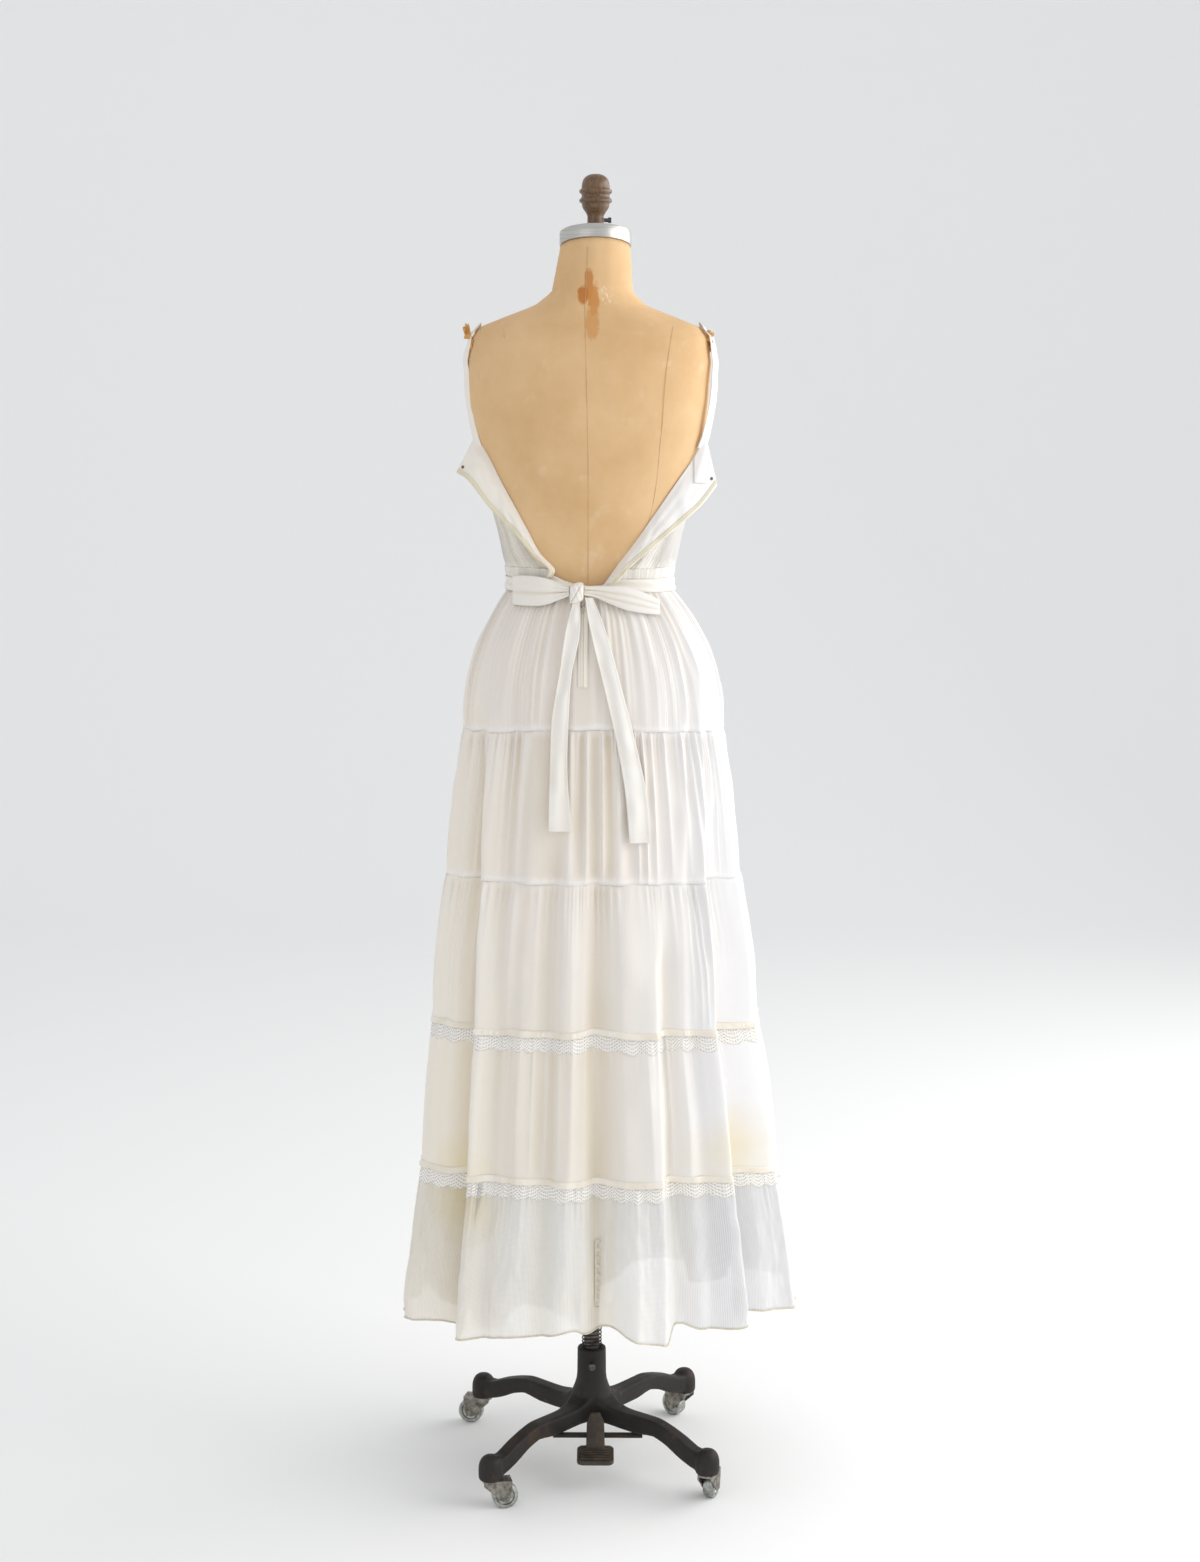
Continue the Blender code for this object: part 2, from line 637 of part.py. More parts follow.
def makeStrapEnd(grid, normal):
    last = grid.shape[0] - 1
    downs = [row / last for row in STRAP_END_ROWS]
    acrosses = [STRAP_END_ACROSS] * len(downs)
    strip = patch(grid, downs, acrosses, 2 * GAP + CLOTH, normal)
    stripNormal = patch(normal, downs, acrosses, 0.0, normal)
    wall("strap_end_right", strip, "gauze", normal=stripNormal)


def makeStrap(name, side, width):
    path = table(STRAP_COLUMNS, STRAP_ROWS)
    steps = np.linspace(0, 1, STRAP_STEPS)
    places = np.linspace(0, 1, len(STRAP_ROWS))
    angles = side * np.radians(np.interp(steps, places, path["angle"]))
    heights = np.interp(steps, places, path["height"])
    line = torsoPoint(angles, heights)
    normal = torsoNormal(angles, heights)
    away = line - [TORSO_SHIFT, 0.0, STRAP_ROWS[0][1]]
    normal = np.where(np.sum(normal * away, axis=1, keepdims=True) > 0, normal, -normal)
    tangent = np.gradient(line, axis=0)
    across = np.cross(tangent, normal)
    across /= np.linalg.norm(across, axis=1, keepdims=True)
    middle = line + normal * (STRAP_OUT + CLOTH)
    half = across * width / 2
    grid = np.stack([middle - half, middle + normal * STRAP_SWELL, middle + half], axis=1)
    normals = np.repeat(normal[:, None, :], 3, axis=1)
    wall(name, grid, "gauze", normal=normals)


def makeWaistband():
    columns = WAISTBAND["columns"]
    angles = np.radians(np.linspace(WAISTBAND["from"], WAISTBAND["to"], columns))
    grid = np.zeros((2, columns, 3))
    for row, height in enumerate((BAND_TOP, BAND_BOTTOM + GAP)):
        for column, angle in enumerate(angles):
            gather = WAISTBAND["gather"] * cos(pi * column)
            grid[row, column] = torsoPoint(angle, height, WAISTBAND["out"] + gather)
    wall("waistband", grid, "gauze")


def makeSash(name, side, end):
    columns = SASH["columns"]
    angles = side * np.radians(np.linspace(SASH["from"], end, columns))
    middle = (BAND_BOTTOM + SASH_BOTTOM) / 2
    levels = ((BAND_BOTTOM, 0.0), (middle, SASH["swell"]), (SASH_BOTTOM + GAP, 0.0))
    grid = np.zeros((3, columns, 3))
    for row, (height, swell) in enumerate(levels):
        grid[row] = torsoPoint(angles, height, SASH["out"] + swell)
    wall(name, grid, "gauze")


def makeTier(tier):
    columns = 4 * int(TIERS["waves"][tier])
    count = np.arange(columns)
    even = 2 * pi * count / columns
    pitch = 2 * pi / columns
    angles = even + pitch * (0.9 * np.sin(3 * even + tier) + 0.7 * np.sin(7 * even + 2 * tier))
    wave = np.cos(pi / 2 * count) * (0.72 + 0.28 * np.sin(5 * even + 1.7 * tier))
    grid = np.zeros((len(TIER_LEVELS[tier]), columns, 3))
    for row, share in enumerate(TIER_LEVELS[tier]):
        top = SEAMS[tier] - GAP / 2
        height = top - (TIER_DROPS[tier] - GAP) * share
        size = np.interp(share, (0.0, 0.2, 1.0), (0.4, 1.0, 0.0)) * TIERS["gather"][tier]
        size += TIERS["hem_wave"][tier] * max(0.0, (share - 0.3) / 0.7)
        grid[row] = skirtPoint(angles, height, size * wave)
    wall("skirt_tier_" + str(tier + 1), grid, "gauze", wrap=True)


def makeLining():
    angles = np.linspace(-pi, pi, LINING_FACETS, endpoint=False)
    hems = np.interp(np.degrees(angles), LINING["angle"], LINING["hem"])
    grid = np.zeros((2, LINING_FACETS, 3))
    top = SEAMS[4] - GAP
    for column, angle in enumerate(angles):
        levels = ((top, LINING_INSET["top"]), (hems[column], LINING_INSET["hem"]))
        for row, (height, inset) in enumerate(levels):
            sizes = [skirtSize(side, height) - inset for side in ("left", "right", "back", "front")]
            x, y = oval(angle, *sizes, SKIRT_POWER)
            grid[row, column] = (x, y, height)
    wall("lining", grid, "gauze", wrap=True)


def makeLaceAndRibbon(number, seam):
    angles = np.linspace(0, 2 * pi, BAND_FACETS, endpoint=False)
    topOut, bottomOut = LACE_OUT[number]
    top = skirtPoint(angles, seam + LACE_RISE, topOut)
    bottom = skirtPoint(angles, seam + LACE_RISE - LACE_HEIGHT, bottomOut)
    lace = np.stack([top, bottom])
    wall("lace_" + str(number), lace, "lace", thickness=TRIM, wrap=True)
    normal = outward(lace, gridNormals(lace, True))
    shares = [(LACE_RISE + turn * RIBBON_HEIGHT / 2) / LACE_HEIGHT for turn in (-1, 1)]
    ribbon = np.stack([top + (bottom - top) * share for share in shares])
    ribbon += normal * (3 * GAP + TRIM)
    wall("ribbon_" + str(number), ribbon, "satin", thickness=TRIM, wrap=True, normal=normal)


def makePicotStrip():
    rows = []
    widths = []
    for tooth in range(PICOT_COUNT):
        top = PICOT_TOP - tooth * PICOT_PITCH
        low = top - PICOT_TOOTH
        rows += [top, low, low - PICOT_CORNER, top - PICOT_PITCH + PICOT_CORNER]
        widths += [PICOT_WIDTH + PICOT_REACH] * 2 + [PICOT_WIDTH] * 2
    grid = np.zeros((len(rows), 2, 3))
    for row, height in enumerate(rows):
        for column, x in enumerate((PICOT_X, PICOT_X + widths[row])):
            grid[row, column] = (x, skirtDepth(x, height, PICOT_OUT), height)
    facing = np.tile([0.0, -1.0, 0.0], (len(rows), 2, 1))
    wall("picot_strip", grid, "lace", thickness=PICOT_THICKNESS, normal=facing)


def makeKnot():
    mesh = bpy.data.meshes.new("bow_knot")
    shape = bmesh.new()
    bmesh.ops.create_cube(shape, size=1.0)
    bmesh.ops.bevel(shape, geom=shape.edges[:], offset=KNOT_ROUND, segments=2, profile=0.6, affect="EDGES")
    bmesh.ops.scale(shape, vec=Vector(KNOT_SIZE), verts=shape.verts)
    bmesh.ops.translate(shape, vec=Vector((KNOT_X, KNOT_Y, KNOT_Z)), verts=shape.verts)
    shape.to_mesh(mesh)
    shape.free()
    addObject("bow_knot", mesh, "gauze")


def makeLoop(name, side, rows):
    loop = table(LOOP_COLUMNS, rows)
    start = KNOT_X + side * (KNOT_SIZE[0] / 2 + GAP)
    reach = loop["reach"][-1]
    straight = np.linspace(0, reach - LOOP_END["turn"], 7)
    bend = reach - LOOP_END["bend"]
    stations = [(x, 1.0) for x in straight]
    stations += [(bend, LOOP_END["bend_face"]), (reach, 0.0), (bend, -LOOP_END["bend_face"])]
    stations += [(x, -1.0) for x in straight[::-1]]
    columns = len(stations)
    grid = np.zeros((3, columns, 3))
    normal = np.zeros((3, columns, 3))
    for column, (x, face) in enumerate(stations):
        top = np.interp(x, loop["reach"], loop["top"])
        bottom = np.interp(x, loop["reach"], loop["bottom"])
        settled = min(1.0, x / LOOP_SETTLE)
        spread = (LOOP_GAP / 2 + CLOTH) * (0.75 + 0.25 * settled)
        across = start + side * x
        flare = skirtDepth(across, min(bottom, SKIRT_TOP), LOOP_FLARE_OUT)
        lying = min(backDepth(across, KNOT_Z, LOOP_OUT), flare)
        back = KNOT_Y + (lying - KNOT_Y) * settled
        for row, share in enumerate((0.0, 0.5, 1.0)):
            crease = LOOP_CREASE * cos(2 * pi * share) * settled
            grid[row, column] = (across, back - spread * face - crease, top + (bottom - top) * share)
            tip = 1 - abs(face)
            normal[row, column] = (side * tip * 1.6, -face, 0)
    normal /= np.linalg.norm(normal, axis=2, keepdims=True)
    wall(name, grid, "gauze", normal=normal)


def makeTail(name, rows):
    tail = table(TAIL_COLUMNS, rows)
    heights = np.linspace(tail["height"][0], tail["height"][-1], TAIL_LEVELS)
    columns = TAIL_COLUMN_COUNT
    grid = np.zeros((TAIL_LEVELS, columns, 3))
    for row, height in enumerate(heights):
        left = np.interp(-height, -tail["height"], tail["left"])
        right = np.interp(-height, -tail["height"], tail["right"])
        out = np.interp(-height, -tail["height"], tail["out"])
        for column in range(columns):
            x = left + (right - left) * column / (columns - 1)
            ripple = TAIL_RIPPLE * cos(pi * column) * min(1.0, row / 3)
            grid[row, column] = (x, skirtDepth(x, height, out + ripple), height)
    wall(name, grid, "gauze", normal=np.tile([0.0, -1.0, 0.0], (TAIL_LEVELS, columns, 1)))


def makeZip():
    heights = np.linspace(ZIP_TOP, ZIP_END, ZIP_LEVELS)
    grid = np.zeros((ZIP_LEVELS, 3, 3))
    for row, height in enumerate(heights):
        for column, x in enumerate((ZIP_X - ZIP_WIDTH / 2, ZIP_X, ZIP_X + ZIP_WIDTH / 2)):
            grid[row, column] = (x, skirtDepth(x, height, ZIP_OUT), height)
    facing = np.tile([0.0, -1.0, 0.0], (ZIP_LEVELS, 3, 1))
    wall("zip_closed", grid, "zip_tape", thickness=TAPE, normal=facing)
    low = SLIDER_Z - SLIDER_SIZE[2] / 2
    slope = (skirtDepth(ZIP_X, low, ZIP_OUT) - skirtDepth(ZIP_X, SLIDER_Z, ZIP_OUT)) / (low - SLIDER_Z)
    lean = Matrix.Rotation(-atan2(slope, 1.0), 4, "X")
    slider = makeBox("zip_slider", SLIDER_SIZE, (0.0, 0.0, 0.0), "nickel", 0.0006)
    sliderY = skirtDepth(ZIP_X, SLIDER_Z, ZIP_OUT) - SLIDER_SIZE[1] / 2 - 2 * GAP
    slider.data.transform(lean)
    slider.location = (ZIP_X, sliderY, SLIDER_Z)
    tab = makeBox("zip_pull_tab", TAB_SIZE, (0.0, 0.0, TAB_EYE - TAB_SIZE[2] / 2), "nickel", 0.0003)
    tab.data.transform(lean)
    tab.location = slider.location + Vector((0.0, -(SLIDER_SIZE[1] + TAB_SIZE[1]) / 2 - 2 * GAP, 0.0))


# Dress form and stand

def lathe(name, profile, bottom, top, facets, materialName, turn=0.0):
    points = [(0.0, 0.0, bottom)]
    faces = []
    for radius, height in profile:
        for facet in range(facets):
            angle = 2 * pi * facet / facets + turn
            points.append((radius * cos(angle), radius * sin(angle), height))
    points.append((0.0, 0.0, top))
    last = len(points) - 1
    for facet in range(facets):
        following = (facet + 1) % facets
        faces.append((0, 1 + following, 1 + facet))
        for ring in range(len(profile) - 1):
            low = 1 + ring * facets
            high = low + facets
            faces.append((low + facet, low + following, high + following, high + facet))
        end = 1 + (len(profile) - 1) * facets
        faces.append((end + facet, end + following, last))
    return addObject(name, meshFromFaces(name, points, faces), materialName)


def ring(name, profile, facets, materialName):
    points = []
    faces = []
    sides = len(profile)
    for radius, height in profile:
        for facet in range(facets):
            angle = 2 * pi * facet / facets
            points.append((radius * cos(angle), radius * sin(angle), height))
    for side in range(sides):
        low = side * facets
        high = ((side + 1) % sides) * facets
        for facet in range(facets):
            following = (facet + 1) % facets
            faces.append((low + facet, low + following, high + following, high + facet))
    return addObject(name, meshFromFaces(name, points, faces), materialName)


def makeBox(name, size, centre, materialName, bevel=0.0):
    mesh = bpy.data.meshes.new(name)
    shape = bmesh.new()
    bmesh.ops.create_cube(shape, size=1.0)
    bmesh.ops.scale(shape, vec=Vector(size), verts=shape.verts)
    if bevel:
        bmesh.ops.bevel(shape, geom=shape.edges[:], offset=bevel, segments=1, affect="EDGES")
    bmesh.ops.translate(shape, vec=Vector(centre), verts=shape.verts)
    shape.to_mesh(mesh)
    shape.free()
    return addObject(name, mesh, materialName)


def moveOrigin(item, place):
    item.data.transform(Matrix.Translation(-Vector(place)))
    item.location = Vector(place)


def sweep(sections):
    points = [corner for section in sections for corner in section]
    count = len(sections[0])
    faces = [tuple(range(count)), tuple(range(len(points) - count, len(points)))]
    for step in range(len(sections) - 1):
        for side in range(count):
            following = (side + 1) % count
            low = step * count
            high = low + count
            faces.append((low + side, low + following, high + following, high + side))
    return points, faces


def extrudeProfile(name, profile, halfWidth, materialName):
    sections = [[(x, y, z) for y, z in profile] for x in (-halfWidth, halfWidth)]
    points, faces = sweep(sections)
    return addObject(name, meshFromFaces(name, points, faces), materialName)


def hideCutter(item):
    item.hide_render = True
    item.display_type = "WIRE"


def combine(item, other, operation):
    change = item.modifiers.new(operation.lower(), "BOOLEAN")
    change.object = other
    change.operation = operation
    change.solver = "EXACT"
    hideCutter(other)


def makeTorso():
    angles = np.linspace(0, 2 * pi, TORSO_FACETS, endpoint=False)
    heights = TORSO["height"][::-1]
    grid = np.stack([torsoPoint(angles, height) for height in heights])
    inner = np.stack([torsoPoint(angles, height, -FORM_WALL) for height in heights])
    wall("torso_form", grid, "form_cloth", wrap=True, inner=inner)
    low = TORSO["height"][0]
    rims = []
    bore = (POLE_RADIUS + GAP) / cos(pi / TORSO_FACETS)
    for height in (low + BOARD_LOW, low + BOARD_HIGH):
        rims.append(torsoPoint(angles, height, -FORM_WALL - 2 * GAP))
        inner = np.stack([bore * np.sin(angles), -bore * np.cos(angles), 0 * angles + height], axis=-1)
        rims.append(inner)
    outerLow, innerLow, outerHigh, innerHigh = rims
    board = np.concatenate([outerLow, outerHigh, innerHigh, innerLow])
    count = TORSO_FACETS
    faces = []
    for side in range(4):
        for facet in range(count):
            following = (facet + 1) % count
            nextSide = (side + 1) % 4
            faces.append((side * count + facet, side * count + following,
                          nextSide * count + following, nextSide * count + facet))
    addObject("bottom_board", meshFromFaces("bottom_board", board, faces), "board")


def makeNeck():
    half = RING_HEIGHT / 2
    profile = [(RING_RADIUS - 0.001, -half), (RING_RADIUS, -half + 0.001)]
    profile += [(RING_RADIUS, half - 0.002), (RING_RADIUS - 0.002, half)]
    cap = lathe("neck_ring", profile, -half, half, 20, "aluminium")
    turn = Matrix.Rotation(-atan2(NECK_LEAN, 1.0), 4, "X")
    cap.data.transform(Matrix.Translation((0.0, 0.0, RING_CENTRE)) @ turn)
    lathe("finial", FINIAL_PROFILE, FINIAL_BASE, FINIAL_TOP, 14, "wood")
    end = THUMB_SCREW_PROFILE[-1][1]
    screw = lathe("thumb_screw", THUMB_SCREW_PROFILE, 0.0, end, 10, "steel")
    seat = FINIAL_PROFILE[0][0] + GAP
    place = Matrix.Translation((seat, 0.0, THUMB_SCREW_Z)) @ Matrix.Rotation(pi / 2, 4, "Y")
    screw.data.transform(place)


def makePoles():
    outside = [(POST_RADIUS, POST_TOP), (POST_RADIUS, POST_BOTTOM)]
    inside = [(POST_BORE, POST_BOTTOM), (POST_BORE, POST_TOP)]
    ring("post", outside + inside, HUB_FACETS, "steel")
    outline = [(POLE_RADIUS, POLE_BOTTOM), (POLE_RADIUS, POLE_TOP)]
    lathe("pole", outline, POLE_BOTTOM, POLE_TOP, 16, "steel")


def legSections(direction):
    leg = table(LEG_COLUMNS, LEG_ROWS)
    away = np.array([cos(direction), sin(direction), 0.0])
    side = np.array([-sin(direction), cos(direction), 0.0])
    up = np.array([0.0, 0.0, 1.0])
    half = ((1, LEG_CORNER), (LEG_CORNER, 1), (-LEG_CORNER, 1), (-1, LEG_CORNER))
    outline = half + tuple((-a, -b) for a, b in half)
    sections = []
    for place in range(len(LEG_ROWS)):
        centre = away * leg["reach"][place] + up * leg["middle"][place]
        wide = side * leg["half_width"][place]
        high = up * leg["half_height"][place]
        sections.append([tuple(centre + wide * a + high * b) for a, b in outline])
    return sections


def casterAngle(name):
    return radians(CASTERS[name][0]) + BASE_TURN


def casterPlace(name):
    angle = casterAngle(name)
    return CASTER_RADIUS * cos(angle), CASTER_RADIUS * sin(angle)


def makeCasting():
    outline = list(HUB_PROFILE) + [(HUB_BORE, 0.0700), (HUB_BORE, 0.1785)]
    hub = ring("stand_casting", outline, HUB_FACETS, "cast_iron")
    for name in CASTERS:
        points, faces = sweep(legSections(casterAngle(name)))
        leg = addObject("leg_" + name, meshFromFaces("leg_" + name, points, faces), "cast_iron")
        cap = lathe("cap_" + name, CAP_PROFILE, CAP_PROFILE[0][1], CAP_TOP, 12, "cast_iron")
        x, y = casterPlace(name)
        cap.data.transform(Matrix.Translation((x, y, 0.0)))
        combine(hub, leg, "UNION")
        combine(hub, cap, "UNION")
    screw = lathe("set_screw", SET_SCREW_PROFILE, 0.0, SET_SCREW_PROFILE[-1][1], 8, "steel")
    screw.data.transform(Matrix.Translation(SET_SCREW_PLACE) @ Matrix.Rotation(pi / 2, 4, "X"))


def makeSpring():
    steps = 9 * SPRING_TURNS
    sides = 5
    sections = []
    for step in range(steps + 1):
        share = step / steps
        angle = 2 * pi * SPRING_TURNS * share
        rise = SPRING_BOTTOM + (SPRING_TOP - SPRING_BOTTOM) * share ** SPRING_STRETCH
        away = np.array([cos(angle), sin(angle), 0.0])
        centre = away * SPRING_RADIUS + np.array([0.0, 0.0, rise])
        section = []
        for side in range(sides):
            turn = 2 * pi * side / sides
            section.append(tuple(centre + SPRING_WIRE * (away * cos(turn) + np.array([0.0, 0.0, sin(turn)]))))
        sections.append(section)
    points, faces = sweep(sections)
    addObject("spring", meshFromFaces("spring", points, faces), "steel")


def makeCaster(name):
    x, y = casterPlace(name)
    trail = radians(CASTERS[name][1])
    turn = Matrix.Rotation(trail, 4, "Z")
    place = Matrix.Translation((x, y, 0.0)) @ turn
    axleZ = WHEEL_RADIUS * cos(pi / WHEEL_FACETS)
    sections = [[(u, v, z) for u, z in FORK_PROFILE] for v in (-FORK_OUTER, FORK_OUTER)]
    points, faces = sweep(sections)
    fork = addObject("fork_" + name, meshFromFaces("fork_" + name, points, faces), "steel")
    slot = makeBox("slot_" + name, (0.080, 2 * FORK_INNER, 0.060), (0.0, 0.0, FORK_CROWN - 0.030), "steel")
    fork.matrix_world = place
    slot.matrix_world = place
    combine(fork, slot, "DIFFERENCE")
    stub = FORK_INNER - GAP
    half = [(STUB_RADIUS, stub), (STUB_RADIUS, WHEEL_HALF), (WHEEL_RADIUS - WHEEL_BEVEL, WHEEL_HALF)]
    half.append((WHEEL_RADIUS, WHEEL_HALF - WHEEL_BEVEL))
    profile = [(radius, -side) for radius, side in half] + half[::-1]
    flat = pi / WHEEL_FACETS
    wheel = lathe("wheel_" + name, profile, -stub, stub, WHEEL_FACETS, "wheel_steel", turn=flat)
    wheel.matrix_world = place @ Matrix.Translation((TRAIL, 0.0, axleZ)) @ Matrix.Rotation(pi / 2, 4, "X")


def makeBrace():
    sections = []
    for side, leg in ((-1, "front_left"), (1, "front_right")):
        end = BRACE_Y / tan(casterAngle(leg)) + side * BRACE_PAST_LEG
        section = []
        for step in range(8):
            turn = 2 * pi * step / 8 + pi / 8
            section.append((end, BRACE_Y + BRACE_RADIUS * cos(turn), BRACE_Z + BRACE_RADIUS * sin(turn)))
        sections.append(section)
    points, faces = sweep(sections)
    addObject("brace", meshFromFaces("brace", points, faces), "cast_iron")


def makePedal():
    pedal = extrudeProfile("pedal", ARM_PROFILE, ARM_WIDTH / 2, "cast_iron")
    plate = makeBox("pedal_plate", PLATE_SIZE, (0.0, PLATE_Y, PLATE_Z), "cast_iron", 0.0015)
    combine(pedal, plate, "UNION")
    pitch = PLATE_SIZE[1] / TREAD_RIBS
    for rib in range(TREAD_RIBS):
        y = PLATE_Y - PLATE_SIZE[1] / 2 + pitch * (rib + 0.5)
        if y > ARM_FRONT:
            continue
        middle = (0.0, y, PLATE_Z + PLATE_SIZE[2] / 2)
        bar = makeBox("tread_rib_" + str(rib), RIB_SIZE, middle, "cast_iron")
        combine(pedal, bar, "UNION")
    outline = [(PEDAL_BORE, -ARM_WIDTH), (PEDAL_BORE, ARM_WIDTH)]
    bore = lathe("pedal_bore", outline, -ARM_WIDTH, ARM_WIDTH, 16, "steel")
    bore.data.transform(Matrix.Translation((0.0, BRACE_Y, BRACE_Z)) @ Matrix.Rotation(pi / 2, 4, "Y"))
    combine(pedal, bore, "DIFFERENCE")
    for item in [pedal] + [change.object for change in pedal.modifiers]:
        moveOrigin(item, (0.0, BRACE_Y, BRACE_Z))
        item.location.x = PEDAL_X


def makeDress():
    flapLeft = table(FLAP_COLUMNS, FLAP_LEFT_ROWS)
    flapRight = table(FLAP_COLUMNS, FLAP_RIGHT_ROWS)
    makeBodiceFront()
    makeBodiceBack("bodice_back_left", -1, flapLeft)
    makeBodiceBack("bodice_back_right", 1, flapRight)
    makeFlap("left", flapLeft)
    grid, normal = makeFlap("right", flapRight)
    makeStrapEnd(grid, normal)
    makeStrap("strap_left", -1, STRAP_LEFT_WIDTH)
    makeStrap("strap_right", 1, STRAP_RIGHT_WIDTH)
    makeWaistband()
    makeSash("sash_left", -1, SASH["left_to"])
    makeSash("sash_right", 1, SASH["right_to"])
    makeKnot()
    makeLoop("bow_loop_left", -1, LOOP_LEFT_ROWS)
    makeLoop("bow_loop_right", 1, LOOP_RIGHT_ROWS)
    makeTail("bow_tail_left", TAIL_LEFT_ROWS)
    makeTail("bow_tail_right", TAIL_RIGHT_ROWS)
    makeZip()
    for tier in range(len(TIER_ROWS)):
        makeTier(tier)
    makeLining()
    makeLaceAndRibbon(1, SEAMS[3])
    makeLaceAndRibbon(2, SEAMS[4])
    makePicotStrip()


def makeStand():
    makeTorso()
    makeNeck()
    makePoles()
    makeCasting()
    makeSpring()
    makeBrace()
    makePedal()
    for name in CASTERS:
        makeCaster(name)


def centreOnOrigin():
    shown = bpy.context.evaluated_depsgraph_get()
    solids = [item.evaluated_get(shown) for item in bpy.data.objects if not item.hide_render]
    spans = np.array([item.matrix_world @ vertex.co for item in solids for vertex in item.data.vertices])
    middle = (spans.min(axis=0) + spans.max(axis=0)) / 2
    frame = bpy.data.objects.new("frame", None)
    bpy.context.scene.collection.objects.link(frame)
    for item in list(bpy.data.objects):
        if item is not frame:
            item.parent = frame
    frame.location = (-middle[0], -middle[1], 0.0)


clearScene()
makeDress()
makeStand()
centreOnOrigin()
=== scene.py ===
import bpy
import numpy as np
from math import cos, pi, radians, sin, tan
from mathutils import Matrix, Vector


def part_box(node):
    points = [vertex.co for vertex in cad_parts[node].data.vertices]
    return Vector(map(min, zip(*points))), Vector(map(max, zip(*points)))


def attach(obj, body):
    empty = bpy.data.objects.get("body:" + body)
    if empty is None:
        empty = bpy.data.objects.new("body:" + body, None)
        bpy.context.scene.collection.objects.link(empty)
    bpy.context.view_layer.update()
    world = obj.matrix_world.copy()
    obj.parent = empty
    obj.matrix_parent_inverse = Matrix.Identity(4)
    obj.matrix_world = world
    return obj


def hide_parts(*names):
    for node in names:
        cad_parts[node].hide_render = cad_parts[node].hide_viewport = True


# Maxi dress of sheer cotton voile, worn open-backed on a dress form. Metres, floor at Z = 0,
# the back of the dress faces -Y. Angles round the body run from centre back (0) towards +X.

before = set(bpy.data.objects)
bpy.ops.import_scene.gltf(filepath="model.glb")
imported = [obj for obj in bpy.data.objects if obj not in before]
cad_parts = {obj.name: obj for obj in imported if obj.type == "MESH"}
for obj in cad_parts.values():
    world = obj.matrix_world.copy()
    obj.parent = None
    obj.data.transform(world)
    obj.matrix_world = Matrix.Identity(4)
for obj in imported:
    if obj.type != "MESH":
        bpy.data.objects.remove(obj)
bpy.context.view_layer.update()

postLow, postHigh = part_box("pole")
postAxis = np.array([(postLow[0] + postHigh[0]) / 2, (postLow[1] + postHigh[1]) / 2, 0.0])


# Camera

cameraSetup = {
    "place": (0.009, -3.668, 1.5815),  # from the post's axis
    "tilt": 0.1534,  # radians below level
    "roll": -0.0038,
    "focal": 2620.0,  # in pixels of a 1200 x 1562 frame
    "imageHeight": 1562,
}


def makeCamera():
    data = bpy.data.cameras.new("camera")
    data.sensor_width = 36.0
    data.lens = cameraSetup["focal"] * data.sensor_width / cameraSetup["imageHeight"]
    data.dof.use_dof = False
    camera = bpy.data.objects.new("camera", data)
    bpy.context.scene.collection.objects.link(camera)
    camera.location = Vector(cameraSetup["place"]) + Vector(postAxis)
    tilt = Matrix.Rotation(pi / 2 - cameraSetup["tilt"], 3, "X")
    roll = Matrix.Rotation(-cameraSetup["roll"], 3, "Z")
    camera.rotation_euler = (tilt @ roll).to_euler()
    bpy.context.scene.camera = camera


makeCamera()
print("camera set")


# Materials

def linear(hexColour):
    parts = [int(hexColour[place:place + 2], 16) / 255 for place in (1, 3, 5)]
    light = [part / 12.92 if part <= 0.04045 else ((part + 0.055) / 1.055) ** 2.4 for part in parts]
    return (*light, 1.0)


def newMaterial(name):
    material = bpy.data.materials.new(name)
    material.use_nodes = True
    return material, material.node_tree, material.node_tree.nodes["Principled BSDF"]


def setInputs(tree, node, inputs):
    # an output is linked, and anything else is set on the socket
    for name, value in inputs.items():
        if isinstance(value, bpy.types.NodeSocket):
            tree.links.new(value, node.inputs[name])
        else:
            node.inputs[name].default_value = value


def addNode(tree, kind, inputs=None, **settings):
    node = tree.nodes.new("ShaderNode" + kind)
    for name, value in settings.items():
        setattr(node, name, value)
    setInputs(tree, node, inputs or {})
    return node


def setRamp(node, stops):
    ramp = node.color_ramp
    while len(ramp.elements) > len(stops):
        ramp.elements.remove(ramp.elements[-1])
    while len(ramp.elements) < len(stops):
        ramp.elements.new(1.0)
    for element, (place, colour) in zip(ramp.elements, stops):
        element.position = place
        element.color = colour
    return node


def weaveHeight(tree, coordinates, pitch):
    # crossed threads, one sine each way
    split = addNode(tree, "SeparateXYZ", {"Vector": coordinates})
    threads = []
    for axis in ("X", "Y"):
        turned = addNode(tree, "Math", {0: split.outputs[axis], 1: 2 * pi / pitch}, operation="MULTIPLY")
        threads.append(addNode(tree, "Math", {0: turned.outputs[0]}, operation="SINE"))
    return addNode(tree, "Math", {0: threads[0].outputs[0], 1: threads[1].outputs[0]}, operation="ADD")


